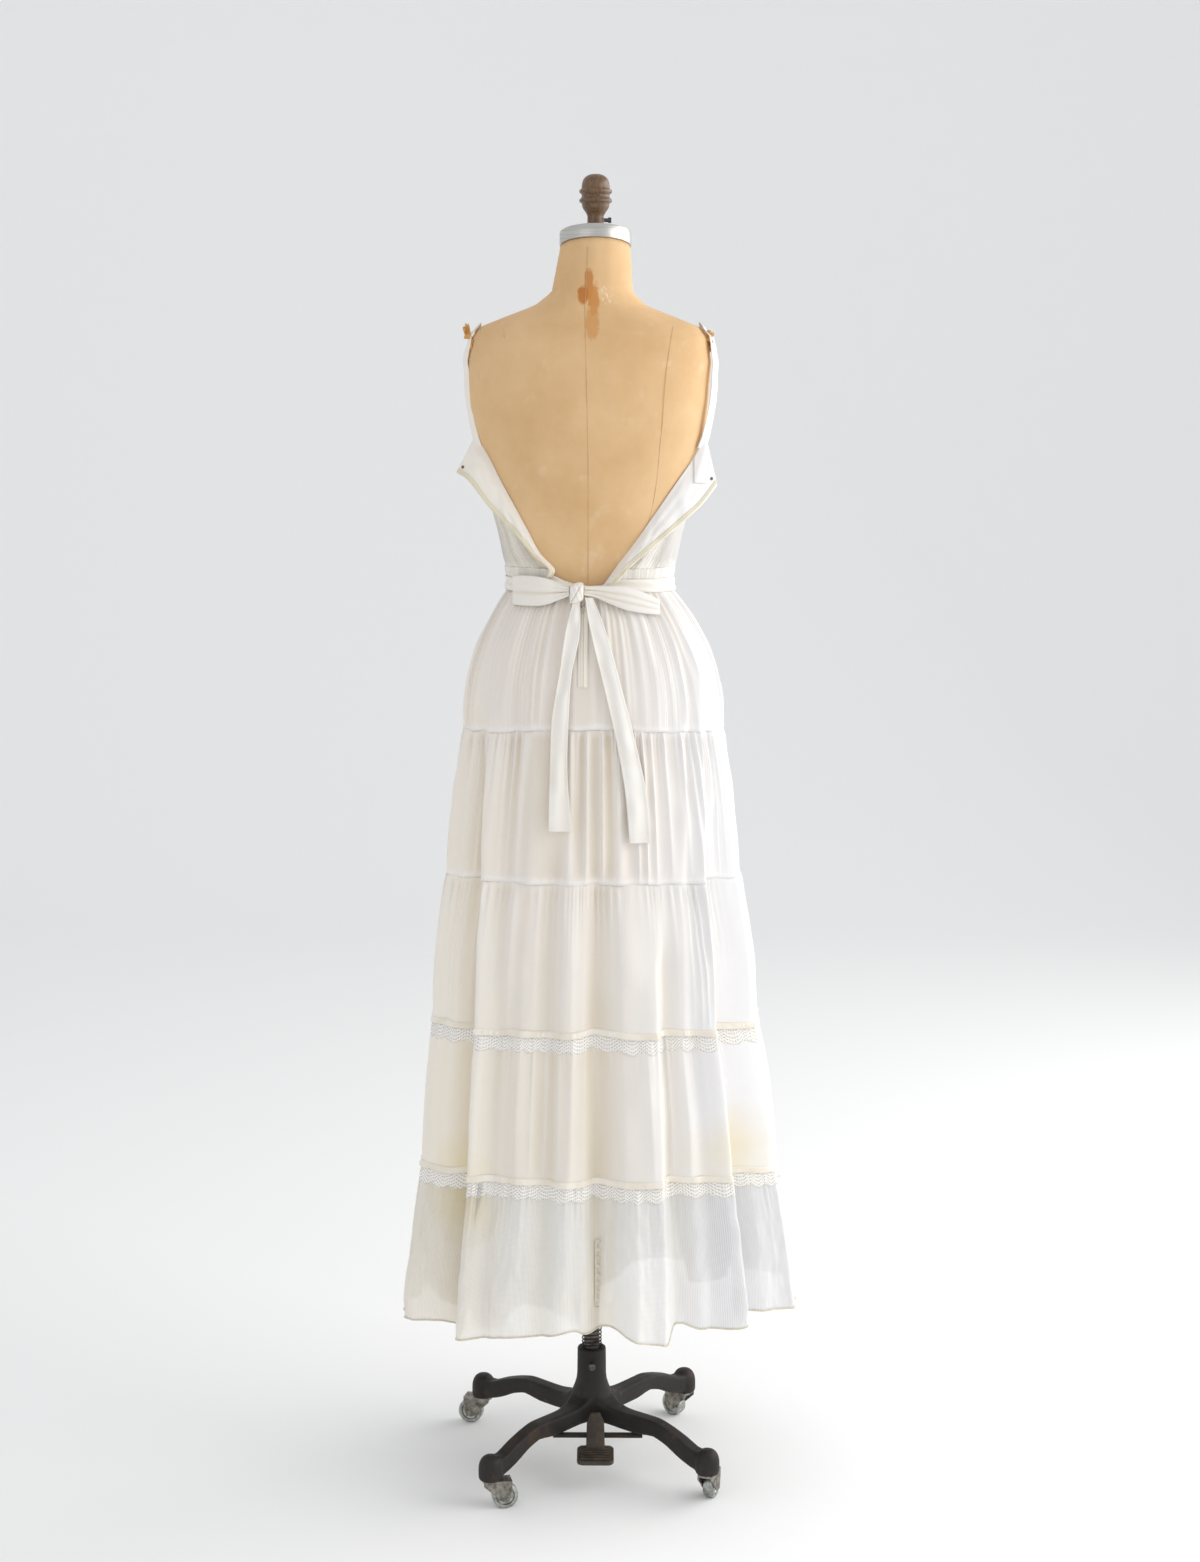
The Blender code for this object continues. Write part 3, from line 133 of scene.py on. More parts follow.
def voile(name, fresh, aged, troughShadeColour, opacity=1.0, band=0.0):
    # cotton voile, plain woven from fine hard-twisted yarn: matt, soft white, yellowed in patches and lower
    # down, with painted shade in its fold troughs
    material, tree, shader = newMaterial(name)
    place = addNode(tree, "TexCoord")
    uv = addNode(tree, "UVMap")
    folds = addNode(tree, "Attribute", attribute_name="fold")
    cloud = addNode(tree, "TexNoise", {"Vector": place.outputs["Object"], "Scale": 3.4, "Detail": 4.0,
                                       "Roughness": 0.6})
    split = addNode(tree, "SeparateXYZ", {"Vector": place.outputs["Object"]})
    low = addNode(tree, "MapRange", {"Value": split.outputs["Z"], "From Min": 1.10, "From Max": 0.50,
                                     "To Max": 0.26})
    ageing = addNode(tree, "Math", {0: cloud.outputs["Fac"], 1: low.outputs[0]}, operation="ADD")
    amount = addNode(tree, "MapRange", {"Value": ageing.outputs[0], "From Min": 0.50, "From Max": 0.95,
                                        "To Max": 0.60})
    aging = addNode(tree, "Mix", {"Factor": amount.outputs[0], 6: linear(fresh), 7: linear(aged)},
                    data_type="RGBA")
    # painted shade: each fold trough is darkened to a warmer colour, standing in for the shade and warm light
    # among the two and three layers behind it
    troughShadeAmount = addNode(tree, "MapRange", {"Value": folds.outputs["Fac"], "From Min": 0.0, "From Max": -1.0,
                                        "To Max": 0.75})
    dull = addNode(tree, "Mix", {"Factor": troughShadeAmount.outputs[0], 6: aging.outputs[2], 7: linear(troughShadeColour)},
                   data_type="RGBA")
    # painted light: the right side, toward the window lamp, is painted a whiter white, and the left side,
    # turned away from it, a lighter cream
    side = addNode(tree, "MapRange", {"Value": split.outputs["X"], "From Min": 0.01, "From Max": 0.17,
                                      "To Max": 0.85})
    pale = addNode(tree, "Mix", {"Factor": side.outputs[0], 6: dull.outputs[2], 7: linear("#F1F1F3")},
                   data_type="RGBA")
    left = addNode(tree, "MapRange", {"Value": split.outputs["X"], "From Min": -0.13, "From Max": -0.22,
                                      "To Max": 0.60})
    leftPaintedLight = addNode(tree, "Mix", {"Factor": left.outputs[0], 6: pale.outputs[2], 7: linear("#FAF3E4")},
                   data_type="RGBA")
    # painted highlight: fold ridges are whitened
    ridge = addNode(tree, "MapRange", {"Value": folds.outputs["Fac"], "From Min": 0.1, "From Max": 1.0,
                                       "To Max": 0.65})
    flat = addNode(tree, "Mix", {"Factor": ridge.outputs[0], 6: leftPaintedLight.outputs[2], 7: linear("#FBFAF8")},
                   data_type="RGBA")
    flat = flat.outputs[2]
    # yellow water marks, on the fourth tier and at the top of the last one
    marks = (
        {"at": (0.182, -0.075, 0.505), "wide": (17.0, 9.0, 19.0), "most": 0.52},
        {"at": (-0.190, -0.075, 0.440), "wide": (20.0, 10.0, 15.0), "most": 0.65},
    )
    rough = addNode(tree, "TexNoise", {"Vector": place.outputs["Object"], "Scale": 30.0, "Detail": 4.0})
    for spot in marks:
        mark = addNode(tree, "VectorMath", {0: place.outputs["Object"], 1: spot["at"]}, operation="SUBTRACT")
        wide = addNode(tree, "VectorMath", {0: mark.outputs[0], 1: spot["wide"]}, operation="MULTIPLY")
        far = addNode(tree, "VectorMath", {0: wide.outputs[0]}, operation="LENGTH")
        ragged = addNode(tree, "Math", {0: rough.outputs["Fac"], 1: 0.9, 2: far.outputs["Value"]},
                         operation="MULTIPLY_ADD")
        stained = addNode(tree, "MapRange", {"Value": ragged.outputs[0], "From Min": 1.75, "From Max": 0.70,
                                             "To Max": spot["most"]})
        flat = addNode(tree, "Mix", {"Factor": stained.outputs[0], 6: flat, 7: linear("#ECDDAF")},
                       data_type="RGBA").outputs[2]
    if band:
        # the seam allowance is folded up behind the cloth, so a whiter band shows just above each seam
        rise = addNode(tree, "SeparateXYZ", {"Vector": uv.outputs["UV"]})
        ticks = addNode(tree, "Mapping", {"Vector": uv.outputs["UV"], "Scale": (260.0, 12.0, 1.0)})
        pleats = addNode(tree, "TexNoise", {"Vector": ticks.outputs[0], "Scale": 1.0, "Detail": 2.0})
        uneven = addNode(tree, "Math", {0: pleats.outputs["Fac"], 1: 0.012, 2: rise.outputs["Y"]},
                         operation="MULTIPLY_ADD")
        edge = addNode(tree, "MapRange", {"Value": uneven.outputs[0], "From Min": band + 0.009,
                                          "From Max": band + 0.002,
                                          "To Max": 0.42})
        flat = addNode(tree, "Mix", {"Factor": edge.outputs[0], 6: flat, 7: linear("#F9F8F6")},
                       data_type="RGBA").outputs[2]
    tree.links.new(flat, shader.inputs["Base Color"])
    # threads of voile are 0.3 mm apart, too fine to show, so they are drawn 1.6 mm apart
    threads = weaveHeight(tree, uv.outputs["UV"], 0.0016)
    slubs = addNode(tree, "TexNoise", {"Vector": uv.outputs["UV"], "Scale": 260.0, "Detail": 3.0})
    height = addNode(tree, "Math", {0: threads.outputs[0], 1: slubs.outputs["Fac"]}, operation="ADD")
    bump = addNode(tree, "Bump", {"Height": height.outputs[0], "Strength": 0.10, "Distance": 0.0006})
    setInputs(tree, shader, {"Normal": bump.outputs[0], "Roughness": 0.82, "Specular IOR Level": 0.25,
                             "Sheen Weight": 0.25, "Sheen Roughness": 0.5})
    if opacity < 1.0:
        # gaps between the threads let the lining and the light through
        gaps = addNode(tree, "MapRange", {"Value": threads.outputs[0], "From Min": -2.0, "From Max": 2.0,
                                          "To Min": opacity - 0.12, "To Max": opacity + 0.12})
        tree.links.new(gaps.outputs[0], shader.inputs["Alpha"])
    return material


def satin():
    # woven satin ribbon: long floats give it bright, soft-edged highlights
    material, tree, shader = newMaterial("satinRibbon")
    uv = addNode(tree, "UVMap")
    cloud = addNode(tree, "TexNoise", {"Vector": uv.outputs["UV"], "Scale": 24.0, "Detail": 3.0})
    ramp = setRamp(addNode(tree, "ValToRGB", {"Fac": cloud.outputs["Fac"]}),
                   [(0.3, linear("#F6F1E7")), (0.7, linear("#E6DCC8"))])
    tree.links.new(ramp.outputs[0], shader.inputs["Base Color"])
    grain = addNode(tree, "TexNoise", {"Vector": uv.outputs["UV"], "Scale": 900.0})
    bump = addNode(tree, "Bump", {"Height": grain.outputs["Fac"], "Strength": 0.08, "Distance": 0.0003})
    setInputs(tree, shader, {"Normal": bump.outputs[0], "Roughness": 0.3, "Specular IOR Level": 0.8})
    return material


def lace():
    # cotton lace: twisted net, with denser leaf rows worked over it, white on white
    material, tree, shader = newMaterial("cottonLace")
    uv = addNode(tree, "UVMap")
    split = addNode(tree, "SeparateXYZ", {"Vector": uv.outputs["UV"]})
    # meshes of the net are 1.2 mm wide, drawn 2.4 mm wide so that they show
    net = weaveHeight(tree, uv.outputs["UV"], 0.0024)
    along = addNode(tree, "Math", {0: split.outputs["X"], 1: pi / 0.026}, operation="MULTIPLY")
    swing = addNode(tree, "Math", {0: along.outputs[0]}, operation="SINE")
    arch = addNode(tree, "Math", {0: swing.outputs[0]}, operation="ABSOLUTE")
    level = addNode(tree, "Math", {0: arch.outputs[0], 1: 0.0095, 2: split.outputs["Y"]},
                    operation="MULTIPLY_ADD")
    rows = addNode(tree, "Math", {0: level.outputs[0], 1: 2 * pi / 0.0052}, operation="MULTIPLY")
    leaves = addNode(tree, "Math", {0: rows.outputs[0]}, operation="SINE")
    dense = addNode(tree, "Math", {0: net.outputs[0], 1: leaves.outputs[0]}, operation="MAXIMUM")
    cover = addNode(tree, "MapRange", {"Value": dense.outputs[0], "From Min": -0.8, "From Max": 0.8,
                                       "To Min": 0.42, "To Max": 0.92})
    tree.links.new(cover.outputs[0], shader.inputs["Alpha"])
    bump = addNode(tree, "Bump", {"Height": dense.outputs[0], "Strength": 0.18, "Distance": 0.0004})
    tree.links.new(bump.outputs[0], shader.inputs["Normal"])
    tint = setRamp(addNode(tree, "ValToRGB", {"Fac": leaves.outputs[0]}),
                   [(0.0, linear("#FAF6EF")), (1.0, linear("#FFFDF9"))])
    setInputs(tree, shader, {"Base Color": tint.outputs[0], "Roughness": 0.85, "Specular IOR Level": 0.2})
    return material


def zipTape(name, dark, light):
    # herringbone zip tape, yellowed more than the cloth
    material, tree, shader = newMaterial(name)
    uv = addNode(tree, "UVMap")
    wave = addNode(tree, "TexWave", {"Vector": uv.outputs["UV"], "Scale": 320.0, "Distortion": 0.6},
                   wave_type="BANDS", bands_direction="DIAGONAL")
    ramp = setRamp(addNode(tree, "ValToRGB", {"Fac": wave.outputs["Fac"]}),
                   [(0.0, linear(dark)), (1.0, linear(light))])
    tree.links.new(ramp.outputs[0], shader.inputs["Base Color"])
    bump = addNode(tree, "Bump", {"Height": wave.outputs["Fac"], "Strength": 0.4, "Distance": 0.0004})
    setInputs(tree, shader, {"Normal": bump.outputs[0], "Roughness": 0.8})
    return material


def formCloth():
    # linen glued over papier-mache and sized: matt tan, with an old tape stain at the nape
    material, tree, shader = newMaterial("sizedLinen")
    place = addNode(tree, "TexCoord")
    cloud = addNode(tree, "TexNoise", {"Vector": place.outputs["Object"], "Scale": 6.0, "Detail": 6.0,
                                       "Roughness": 0.6})
    base = setRamp(addNode(tree, "ValToRGB", {"Fac": cloud.outputs["Fac"]}),
                   [(0.32, linear("#D3AB79")), (0.62, linear("#E4C091"))])
    scuff = addNode(tree, "TexNoise", {"Vector": place.outputs["Object"], "Scale": 34.0, "Detail": 4.0})
    scuffs = setRamp(addNode(tree, "ValToRGB", {"Fac": scuff.outputs["Fac"]}),
                     [(0.60, (0, 0, 0, 1)), (0.74, (1, 1, 1, 1))])
    fade = addNode(tree, "Math", {0: scuffs.outputs[0], 1: 0.35}, operation="MULTIPLY")
    pale = addNode(tree, "Mix", {"Factor": fade.outputs[0], 6: base.outputs[0], 7: linear("#E9D2AE")},
                   data_type="RGBA")
    colour = pale.outputs[2]
    # stain: centre and half size of each blot, in metres across and up the back
    stainBlots = (
        {"x": -0.0215, "z": 1.7045, "wide": 0.0065, "high": 0.024, "hue": "#C27F3F", "most": 0.85},
        {"x": -0.0290, "z": 1.6905, "wide": 0.0085, "high": 0.013, "hue": "#BF7733", "most": 0.95},
        {"x": -0.0150, "z": 1.6850, "wide": 0.0085, "high": 0.022, "hue": "#C98945", "most": 0.90},
        {"x": -0.0165, "z": 1.6520, "wide": 0.0105, "high": 0.025, "hue": "#CE9452", "most": 0.75},
    )
    rough = addNode(tree, "TexNoise", {"Vector": place.outputs["Object"], "Scale": 95.0, "Detail": 5.0,
                                       "Roughness": 0.7})
    split = addNode(tree, "SeparateXYZ", {"Vector": place.outputs["Object"]})
    behind = addNode(tree, "Math", {0: split.outputs["Y"], 1: -0.02}, operation="LESS_THAN")
    for blot in stainBlots:
        across = addNode(tree, "MapRange", {"Value": split.outputs["X"], "From Min": blot["x"],
                                            "To Min": 0.0,
                                            "From Max": blot["x"] + blot["wide"], "To Max": 1.0},
                                            clamp=False)
        up = addNode(tree, "MapRange", {"Value": split.outputs["Z"], "From Min": blot["z"], "To Min": 0.0,
                                        "From Max": blot["z"] + blot["high"], "To Max": 1.0}, clamp=False)
        flat = addNode(tree, "CombineXYZ", {"X": across.outputs[0], "Y": up.outputs[0]})
        far = addNode(tree, "VectorMath", {0: flat.outputs[0]}, operation="LENGTH")
        ragged = addNode(tree, "Math", {0: rough.outputs["Fac"], 1: 1.4, 2: far.outputs["Value"]},
                         operation="MULTIPLY_ADD")
        inside = addNode(tree, "MapRange", {"Value": ragged.outputs[0], "From Min": 1.75, "From Max": 1.45,
                                            "To Min": 0.0, "To Max": blot["most"]})
        mask = addNode(tree, "Math", {0: inside.outputs[0], 1: behind.outputs[0]}, operation="MULTIPLY")
        colour = addNode(tree, "Mix", {"Factor": mask.outputs[0], 6: colour, 7: linear(blot["hue"])},
                         data_type="RGBA").outputs[2]
    # pale scratches right of the stain, where tape was pulled away
    drawn = addNode(tree, "Mapping", {"Vector": place.outputs["Object"], "Scale": (1.0, 1.0, 0.35),
                                      "Rotation": (0.0, 0.5, 0.0)})
    lines = addNode(tree, "TexNoise", {"Vector": drawn.outputs[0], "Scale": 330.0, "Detail": 2.0})
    thin = addNode(tree, "MapRange", {"Value": lines.outputs["Fac"], "From Min": 0.58, "From Max": 0.68,
                                      "To Max": 0.9})
    spot = addNode(tree, "VectorMath", {0: place.outputs["Object"], 1: (0.002, -0.055, 1.692)},
                   operation="SUBTRACT")
    squeezed = addNode(tree, "VectorMath", {0: spot.outputs[0], 1: (90.0, 8.0, 62.0)}, operation="MULTIPLY")
    reach = addNode(tree, "VectorMath", {0: squeezed.outputs[0]}, operation="LENGTH")
    near = addNode(tree, "MapRange", {"Value": reach.outputs["Value"], "From Min": 1.1, "From Max": 0.5})
    scratch = addNode(tree, "Math", {0: thin.outputs[0], 1: near.outputs[0]}, operation="MULTIPLY")
    colour = addNode(tree, "Mix", {"Factor": scratch.outputs[0], 6: colour, 7: linear("#EEDFC4")},
                     data_type="RGBA").outputs[2]
    tree.links.new(colour, shader.inputs["Base Color"])
    # linen threads are 0.6 mm apart, drawn 1.5 mm apart so that they show
    threads = weaveHeight(tree, place.outputs["Object"], 0.0015)
    height = addNode(tree, "Math", {0: threads.outputs[0], 1: cloud.outputs["Fac"]}, operation="ADD")
    bump = addNode(tree, "Bump", {"Height": height.outputs[0], "Strength": 0.06, "Distance": 0.0006})
    setInputs(tree, shader, {"Normal": bump.outputs[0], "Roughness": 0.68, "Specular IOR Level": 0.35})
    return material


def plainCloth(name, hexColour, roughness=0.8):
    # seam lines and threads: one dyed yarn, with a little unevenness
    material, tree, shader = newMaterial(name)
    place = addNode(tree, "TexCoord")
    cloud = addNode(tree, "TexNoise", {"Vector": place.outputs["Object"], "Scale": 120.0})
    dark = tuple(part * 0.8 for part in linear(hexColour)[:3]) + (1.0,)
    ramp = setRamp(addNode(tree, "ValToRGB", {"Fac": cloud.outputs["Fac"]}),
                   [(0.3, dark), (0.7, linear(hexColour))])
    setInputs(tree, shader, {"Base Color": ramp.outputs[0], "Roughness": roughness})
    return material


def metal(name, bright, dull, roughness, scale=60.0, stretch=(1, 1, 1), metallic=1.0, strength=0.15):
    # bare metal, worn: clean and dulled patches, with the scratches of use
    material, tree, shader = newMaterial(name)
    place = addNode(tree, "TexCoord")
    drawn = addNode(tree, "Mapping", {"Vector": place.outputs["Object"], "Scale": stretch})
    wear = addNode(tree, "TexNoise", {"Vector": drawn.outputs[0], "Scale": scale, "Detail": 6.0,
                                      "Roughness": 0.65})
    ramp = setRamp(addNode(tree, "ValToRGB", {"Fac": wear.outputs["Fac"]}),
                   [(0.35, linear(dull)), (0.65, linear(bright))])
    tree.links.new(ramp.outputs[0], shader.inputs["Base Color"])
    rough = addNode(tree, "MapRange", {"Value": wear.outputs["Fac"], "To Min": roughness + 0.18,
                                       "To Max": roughness - 0.08})
    tree.links.new(rough.outputs[0], shader.inputs["Roughness"])
    bump = addNode(tree, "Bump", {"Height": wear.outputs["Fac"], "Strength": strength, "Distance": 0.0005})
    setInputs(tree, shader, {"Normal": bump.outputs[0], "Metallic": metallic})
    return material


def castIron(name, paint, worn, rusted):
    # cast iron, sand-moulded, its black paint worn through to brown rust
    material, tree, shader = newMaterial(name)
    place = addNode(tree, "TexCoord")
    rust = addNode(tree, "TexNoise", {"Vector": place.outputs["Object"], "Scale": 16.0, "Detail": 8.0,
                                      "Roughness": 0.68})
    ramp = setRamp(addNode(tree, "ValToRGB", {"Fac": rust.outputs["Fac"]}),
                   [(0.40, linear(paint)), (0.56, linear(worn)), (0.70, linear(rusted))])
    speck = addNode(tree, "TexNoise", {"Vector": place.outputs["Object"], "Scale": 70.0, "Detail": 4.0})
    specks = setRamp(addNode(tree, "ValToRGB", {"Fac": speck.outputs["Fac"]}), [(0.66, (0, 0, 0, 1)), (0.74,
                                                                                                       (1, 1,
                                                                                                        1,
                                                                                                        1))])
    some = addNode(tree, "Math", {0: specks.outputs[0], 1: 0.5}, operation="MULTIPLY")
    colour = addNode(tree, "Mix", {"Factor": some.outputs[0], 6: ramp.outputs[0], 7: linear("#6E4C33")},
                     data_type="RGBA")
    tree.links.new(colour.outputs[2], shader.inputs["Base Color"])
    # sand grains leave pits 0.5 to 1 mm across
    pits = addNode(tree, "TexNoise", {"Vector": place.outputs["Object"], "Scale": 900.0, "Detail": 2.0})
    height = addNode(tree, "Math", {0: pits.outputs["Fac"], 1: rust.outputs["Fac"]}, operation="ADD")
    bump = addNode(tree, "Bump", {"Height": height.outputs[0], "Strength": 0.25, "Distance": 0.0008})
    tree.links.new(bump.outputs[0], shader.inputs["Normal"])
    rough = addNode(tree, "MapRange", {"Value": rust.outputs["Fac"], "To Min": 0.42, "To Max": 0.75})
    setInputs(tree, shader, {"Roughness": rough.outputs[0], "Metallic": 0.35})
    return material


def turnedWood():
    # turned beech, stained brown and varnished, its grain streaked darker and paler
    material, tree, shader = newMaterial("stainedBeech")
    place = addNode(tree, "TexCoord")
    drawn = addNode(tree, "Mapping", {"Vector": place.outputs["Object"], "Scale": (1.0, 1.0, 0.12)})
    grain = addNode(tree, "TexNoise", {"Vector": drawn.outputs[0], "Scale": 420.0, "Detail": 5.0,
                                       "Roughness": 0.6})
    ramp = setRamp(addNode(tree, "ValToRGB", {"Fac": grain.outputs["Fac"]}),
                   [(0.3, linear("#4A3320")), (0.55, linear("#6E5135")), (0.75, linear("#8C6C4A"))])
    tree.links.new(ramp.outputs[0], shader.inputs["Base Color"])
    bump = addNode(tree, "Bump", {"Height": grain.outputs["Fac"], "Strength": 0.12, "Distance": 0.0004})
    setInputs(tree, shader, {"Normal": bump.outputs[0], "Roughness": 0.38, "Coat Weight": 0.25,
                             "Coat Roughness": 0.3})
    return material


def fibreBoard():
    # pressed fibre board, brown, matt
    material, tree, shader = newMaterial("fibreBoard")
    place = addNode(tree, "TexCoord")
    flecks = addNode(tree, "TexNoise", {"Vector": place.outputs["Object"], "Scale": 150.0, "Detail": 5.0})
    ramp = setRamp(addNode(tree, "ValToRGB", {"Fac": flecks.outputs["Fac"]}),
                   [(0.3, linear("#6B5238")), (0.7, linear("#93775A"))])
    tree.links.new(ramp.outputs[0], shader.inputs["Base Color"])
    bump = addNode(tree, "Bump", {"Height": flecks.outputs["Fac"], "Strength": 0.2, "Distance": 0.0004})
    setInputs(tree, shader, {"Normal": bump.outputs[0], "Roughness": 0.85})
    return material


materials = {
    # the fourth colour of each voile is its painted shade in fold troughs
    "voile": voile("cottonVoile", "#ECE5DD", "#EAE0C9", "#CDBB98", band=0.0075),
    "trimmed": voile("trimmedVoile", "#ECE6DE", "#E8DFCC", "#CFBC94"),
    # painted light: the sheer tier and the lining are near white, lighter than the upper tiers' voile,
    # standing in for light that comes through the thin cloth
    "sheer": voile("sheerVoile", "#FEFCF8", "#FBF6EA", "#EFE5CC", opacity=0.64),
    "facing": voile("cottonFacing", "#F0EBE2", "#EFE7D2", "#D2C3A2"),
    "lining": voile("liningVoile", "#FEFCF8", "#FCF6E8", "#F2E7CC"),
    "satin": satin(),
    "lace": lace(),
    "zipTape": zipTape("zipTape", "#DDD3B4", "#EDE6CF"),
    "closedTape": zipTape("closedTape", "#EAE4D4", "#F4F0E6"),
    "form": formCloth(),
    "torn": plainCloth("tornCovering", "#DDAA66"),
    "seam": plainCloth("seamThread", "#D2B082"),
    "hem": plainCloth("hemThread", "#E4DAC4"),
    "nickel": metal("dulledNickel", "#8A857C", "#4A443C", 0.4, 400.0),
    "aluminium": metal("brushedAluminium", "#D0CFCA", "#B3B1AB", 0.34, 45.0, (0.3, 0.3, 14.0)),
    "steel": metal("wornSteel", "#8C8984", "#4C4742", 0.42, 90.0),
    "spring": metal("rustedSteel", "#4A3A30", "#2A2420", 0.6, 160.0, metallic=0.5),
    "wheel": metal("galvanisedSteel", "#C2C5BF", "#7F827C", 0.34, 120.0),
    "fork": metal("pressedSteel", "#A9A59D", "#625D55", 0.40, 110.0),
    "slider": metal("zipNickel", "#C9C4B8", "#8E887B", 0.38, 300.0),
    "iron": castIron("castIron", "#1F1D1B", "#2B2724", "#463629"),
    "treadIron": castIron("rubbedIron", "#3A332C", "#544A3E", "#74644F"),
    "wood": turnedWood(),
    "board": fibreBoard(),
}
print("materials made")


# Making and finishing pieces

def deselectAll():
    bpy.ops.object.select_all(action="DESELECT")


def only(piece):
    deselectAll()
    piece.select_set(True)
    bpy.context.view_layer.objects.active = piece


def editWhole(piece):
    # edit mode, with the whole piece selected
    only(piece)
    bpy.ops.object.mode_set(mode="EDIT")
    bpy.ops.mesh.select_all(action="SELECT")


def leaveEdit():
    bpy.ops.object.mode_set(mode="OBJECT")


def faceOut(piece):
    editWhole(piece)
    bpy.ops.mesh.normals_make_consistent(inside=False)
    leaveEdit()


def meshFrom(name, points, edges, faces):
    # an emptied cube takes the points that a formula gives
    deselectAll()
    bpy.ops.mesh.primitive_cube_add(size=0.01)
    piece = bpy.context.object
    piece.name = name
    editWhole(piece)
    bpy.ops.mesh.delete(type="VERT")
    leaveEdit()
    piece.data.from_pydata(points, edges, faces)
    return piece


def tubeAlong(name, points, radius, resolution, closed=False):
    # a round thread or wire through the points
    curve = bpy.data.curves.new(name, "CURVE")
    curve.dimensions = "3D"
    spline = curve.splines.new("POLY")
    spline.points.add(len(points) - 1)
    spline.points.foreach_set("co", np.concatenate([points, np.ones((len(points), 1))], axis=1).ravel())
    spline.use_cyclic_u = closed
    curve.bevel_depth = radius
    curve.bevel_resolution = resolution
    curve.use_fill_caps = not closed
    tube = bpy.data.objects.new(name, curve)
    bpy.context.scene.collection.objects.link(tube)
    only(tube)
    bpy.ops.object.convert(target="MESH")
    bpy.ops.object.shade_smooth()
    return bpy.context.object


def joinParts(parts):
    deselectAll()
    for part in parts:
        part.select_set(True)
    bpy.context.view_layer.objects.active = parts[0]
    bpy.ops.object.join()
    return parts[0]


def applyAll(piece):
    only(piece)
    for modifier in list(piece.modifiers):
        bpy.ops.object.modifier_apply(modifier=modifier.name)


def finishPiece(piece, material, body, replaced=()):
    only(piece)
    bpy.ops.object.transform_apply(location=True, rotation=True, scale=True)
    piece.data.materials.clear()
    piece.data.materials.append(materials[material])
    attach(piece, body)
    for node in replaced:
        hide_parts(node)
    return piece


def clothGrid(name, columns, rows, place, size, closed=False, thickness=0.0006):
    # a flat grid as cut from the cloth, then every point taken to its place on the dress
    deselectAll()
    bpy.ops.mesh.primitive_grid_add(x_subdivisions=columns, y_subdivisions=rows, size=1.0)
    piece = bpy.context.object
    piece.name = name
    mesh = piece.data
    flat = np.empty(len(mesh.vertices) * 3)
    mesh.vertices.foreach_get("co", flat)
    flat = flat.reshape(-1, 3)
    across = np.clip(flat[:, 0] + 0.5, 0, 1)
    down = np.clip(0.5 - flat[:, 1], 0, 1)
    corners = np.empty(len(mesh.loops), dtype=np.int32)
    mesh.loops.foreach_get("vertex_index", corners)
    uv = np.stack([across[corners] * size[0], (1 - down[corners]) * size[1]], axis=1)
    mesh.uv_layers.active.data.foreach_set("uv", uv.ravel())
    placed = place(across, down)
    points, fold = placed if isinstance(placed, tuple) else (placed, np.zeros(len(across)))
    mesh.vertices.foreach_set("co", (points + postAxis).ravel())
    # the fold value: the voile paints shade where it is below zero and highlight where it is above 0.1
    shade = mesh.attributes.new("fold", "FLOAT", "POINT")
    shade.data.foreach_set("value", np.clip(fold, -1, 1))
    mesh.update()
    only(piece)
    if closed:
        editWhole(piece)
        bpy.ops.mesh.remove_doubles(threshold=0.00002)
        leaveEdit()
    bpy.ops.object.shade_smooth()
    if thickness:
        shell = piece.modifiers.new("shell", "SOLIDIFY")
        shell.thickness = thickness
        shell.offset = -1.0
        applyAll(piece)
    return piece


def smooth(at, places, values):
    # cubic curve through the points of a table
    places = np.asarray(places, dtype=float)
    values = np.asarray(values, dtype=float)
    slopes = np.gradient(values, places)
    at = np.clip(at, places[0], places[-1])
    step = np.clip(np.searchsorted(places, at, side="right") - 1, 0, len(places) - 2)
    span = places[step + 1] - places[step]
    t = (at - places[step]) / span
    start = values[step] * (2 * t ** 3 - 3 * t ** 2 + 1) + slopes[step] * span * (t ** 3 - 2 * t ** 2 + t)
    end = values[step + 1] * (3 * t ** 2 - 2 * t ** 3) + slopes[step + 1] * span * (t ** 3 - t ** 2)
    return start + end


def wander(at, seed, count, wraps=True):
    # smooth random line from -1 to 1, with count values from 0 to 1
    values = np.random.default_rng(seed).uniform(-1, 1, count)
    spot = np.asarray(at) * count
    low = np.floor(spot).astype(int)
    t = spot - low
    t = t * t * (3 - 2 * t)
    if wraps:
        return values[low % count] * (1 - t) + values[(low + 1) % count] * t
    return values[np.clip(low, 0, count - 1)] * (1 - t) + values[np.clip(low + 1, 0, count - 1)] * t


def patches(across, down, seed, columns, rows):
    # smooth random field from -1 to 1 over a piece
    values = np.random.default_rng(seed).uniform(-1, 1, (rows + 1, columns))
    x = np.asarray(across) * columns
    y = np.clip(np.asarray(down) * rows, 0, rows - 1e-6)
    i = np.floor(x).astype(int)
    j = np.floor(y).astype(int)
    s = x - i
    t = y - j
    s = s * s * (3 - 2 * s)
    t = t * t * (3 - 2 * t)
    upper = values[j, i % columns] * (1 - s) + values[j, (i + 1) % columns] * s
    lower = values[j + 1, i % columns] * (1 - s) + values[j + 1, (i + 1) % columns] * s
    return upper * (1 - t) + lower * t


def longFolds(across, down, count, seed):
    # soft folds that run the whole drop: narrow ridges, wider troughs, no two alike
    phase = count * across + 1.1 * wander(across, seed, count // 2)
    phase = phase + 0.12 * down * wander(across, seed + 1, count // 3)
    ridge = 1 - 1.9 * np.abs(np.sin(pi * phase)) ** 0.75
    strength = np.clip(0.55 + 0.75 * wander(across, seed + 2, count // 2), 0.08, 1.3)
    fade = 1 - 0.45 * down * (1 + wander(across, seed + 3, count // 2))
    return ridge * strength * fade


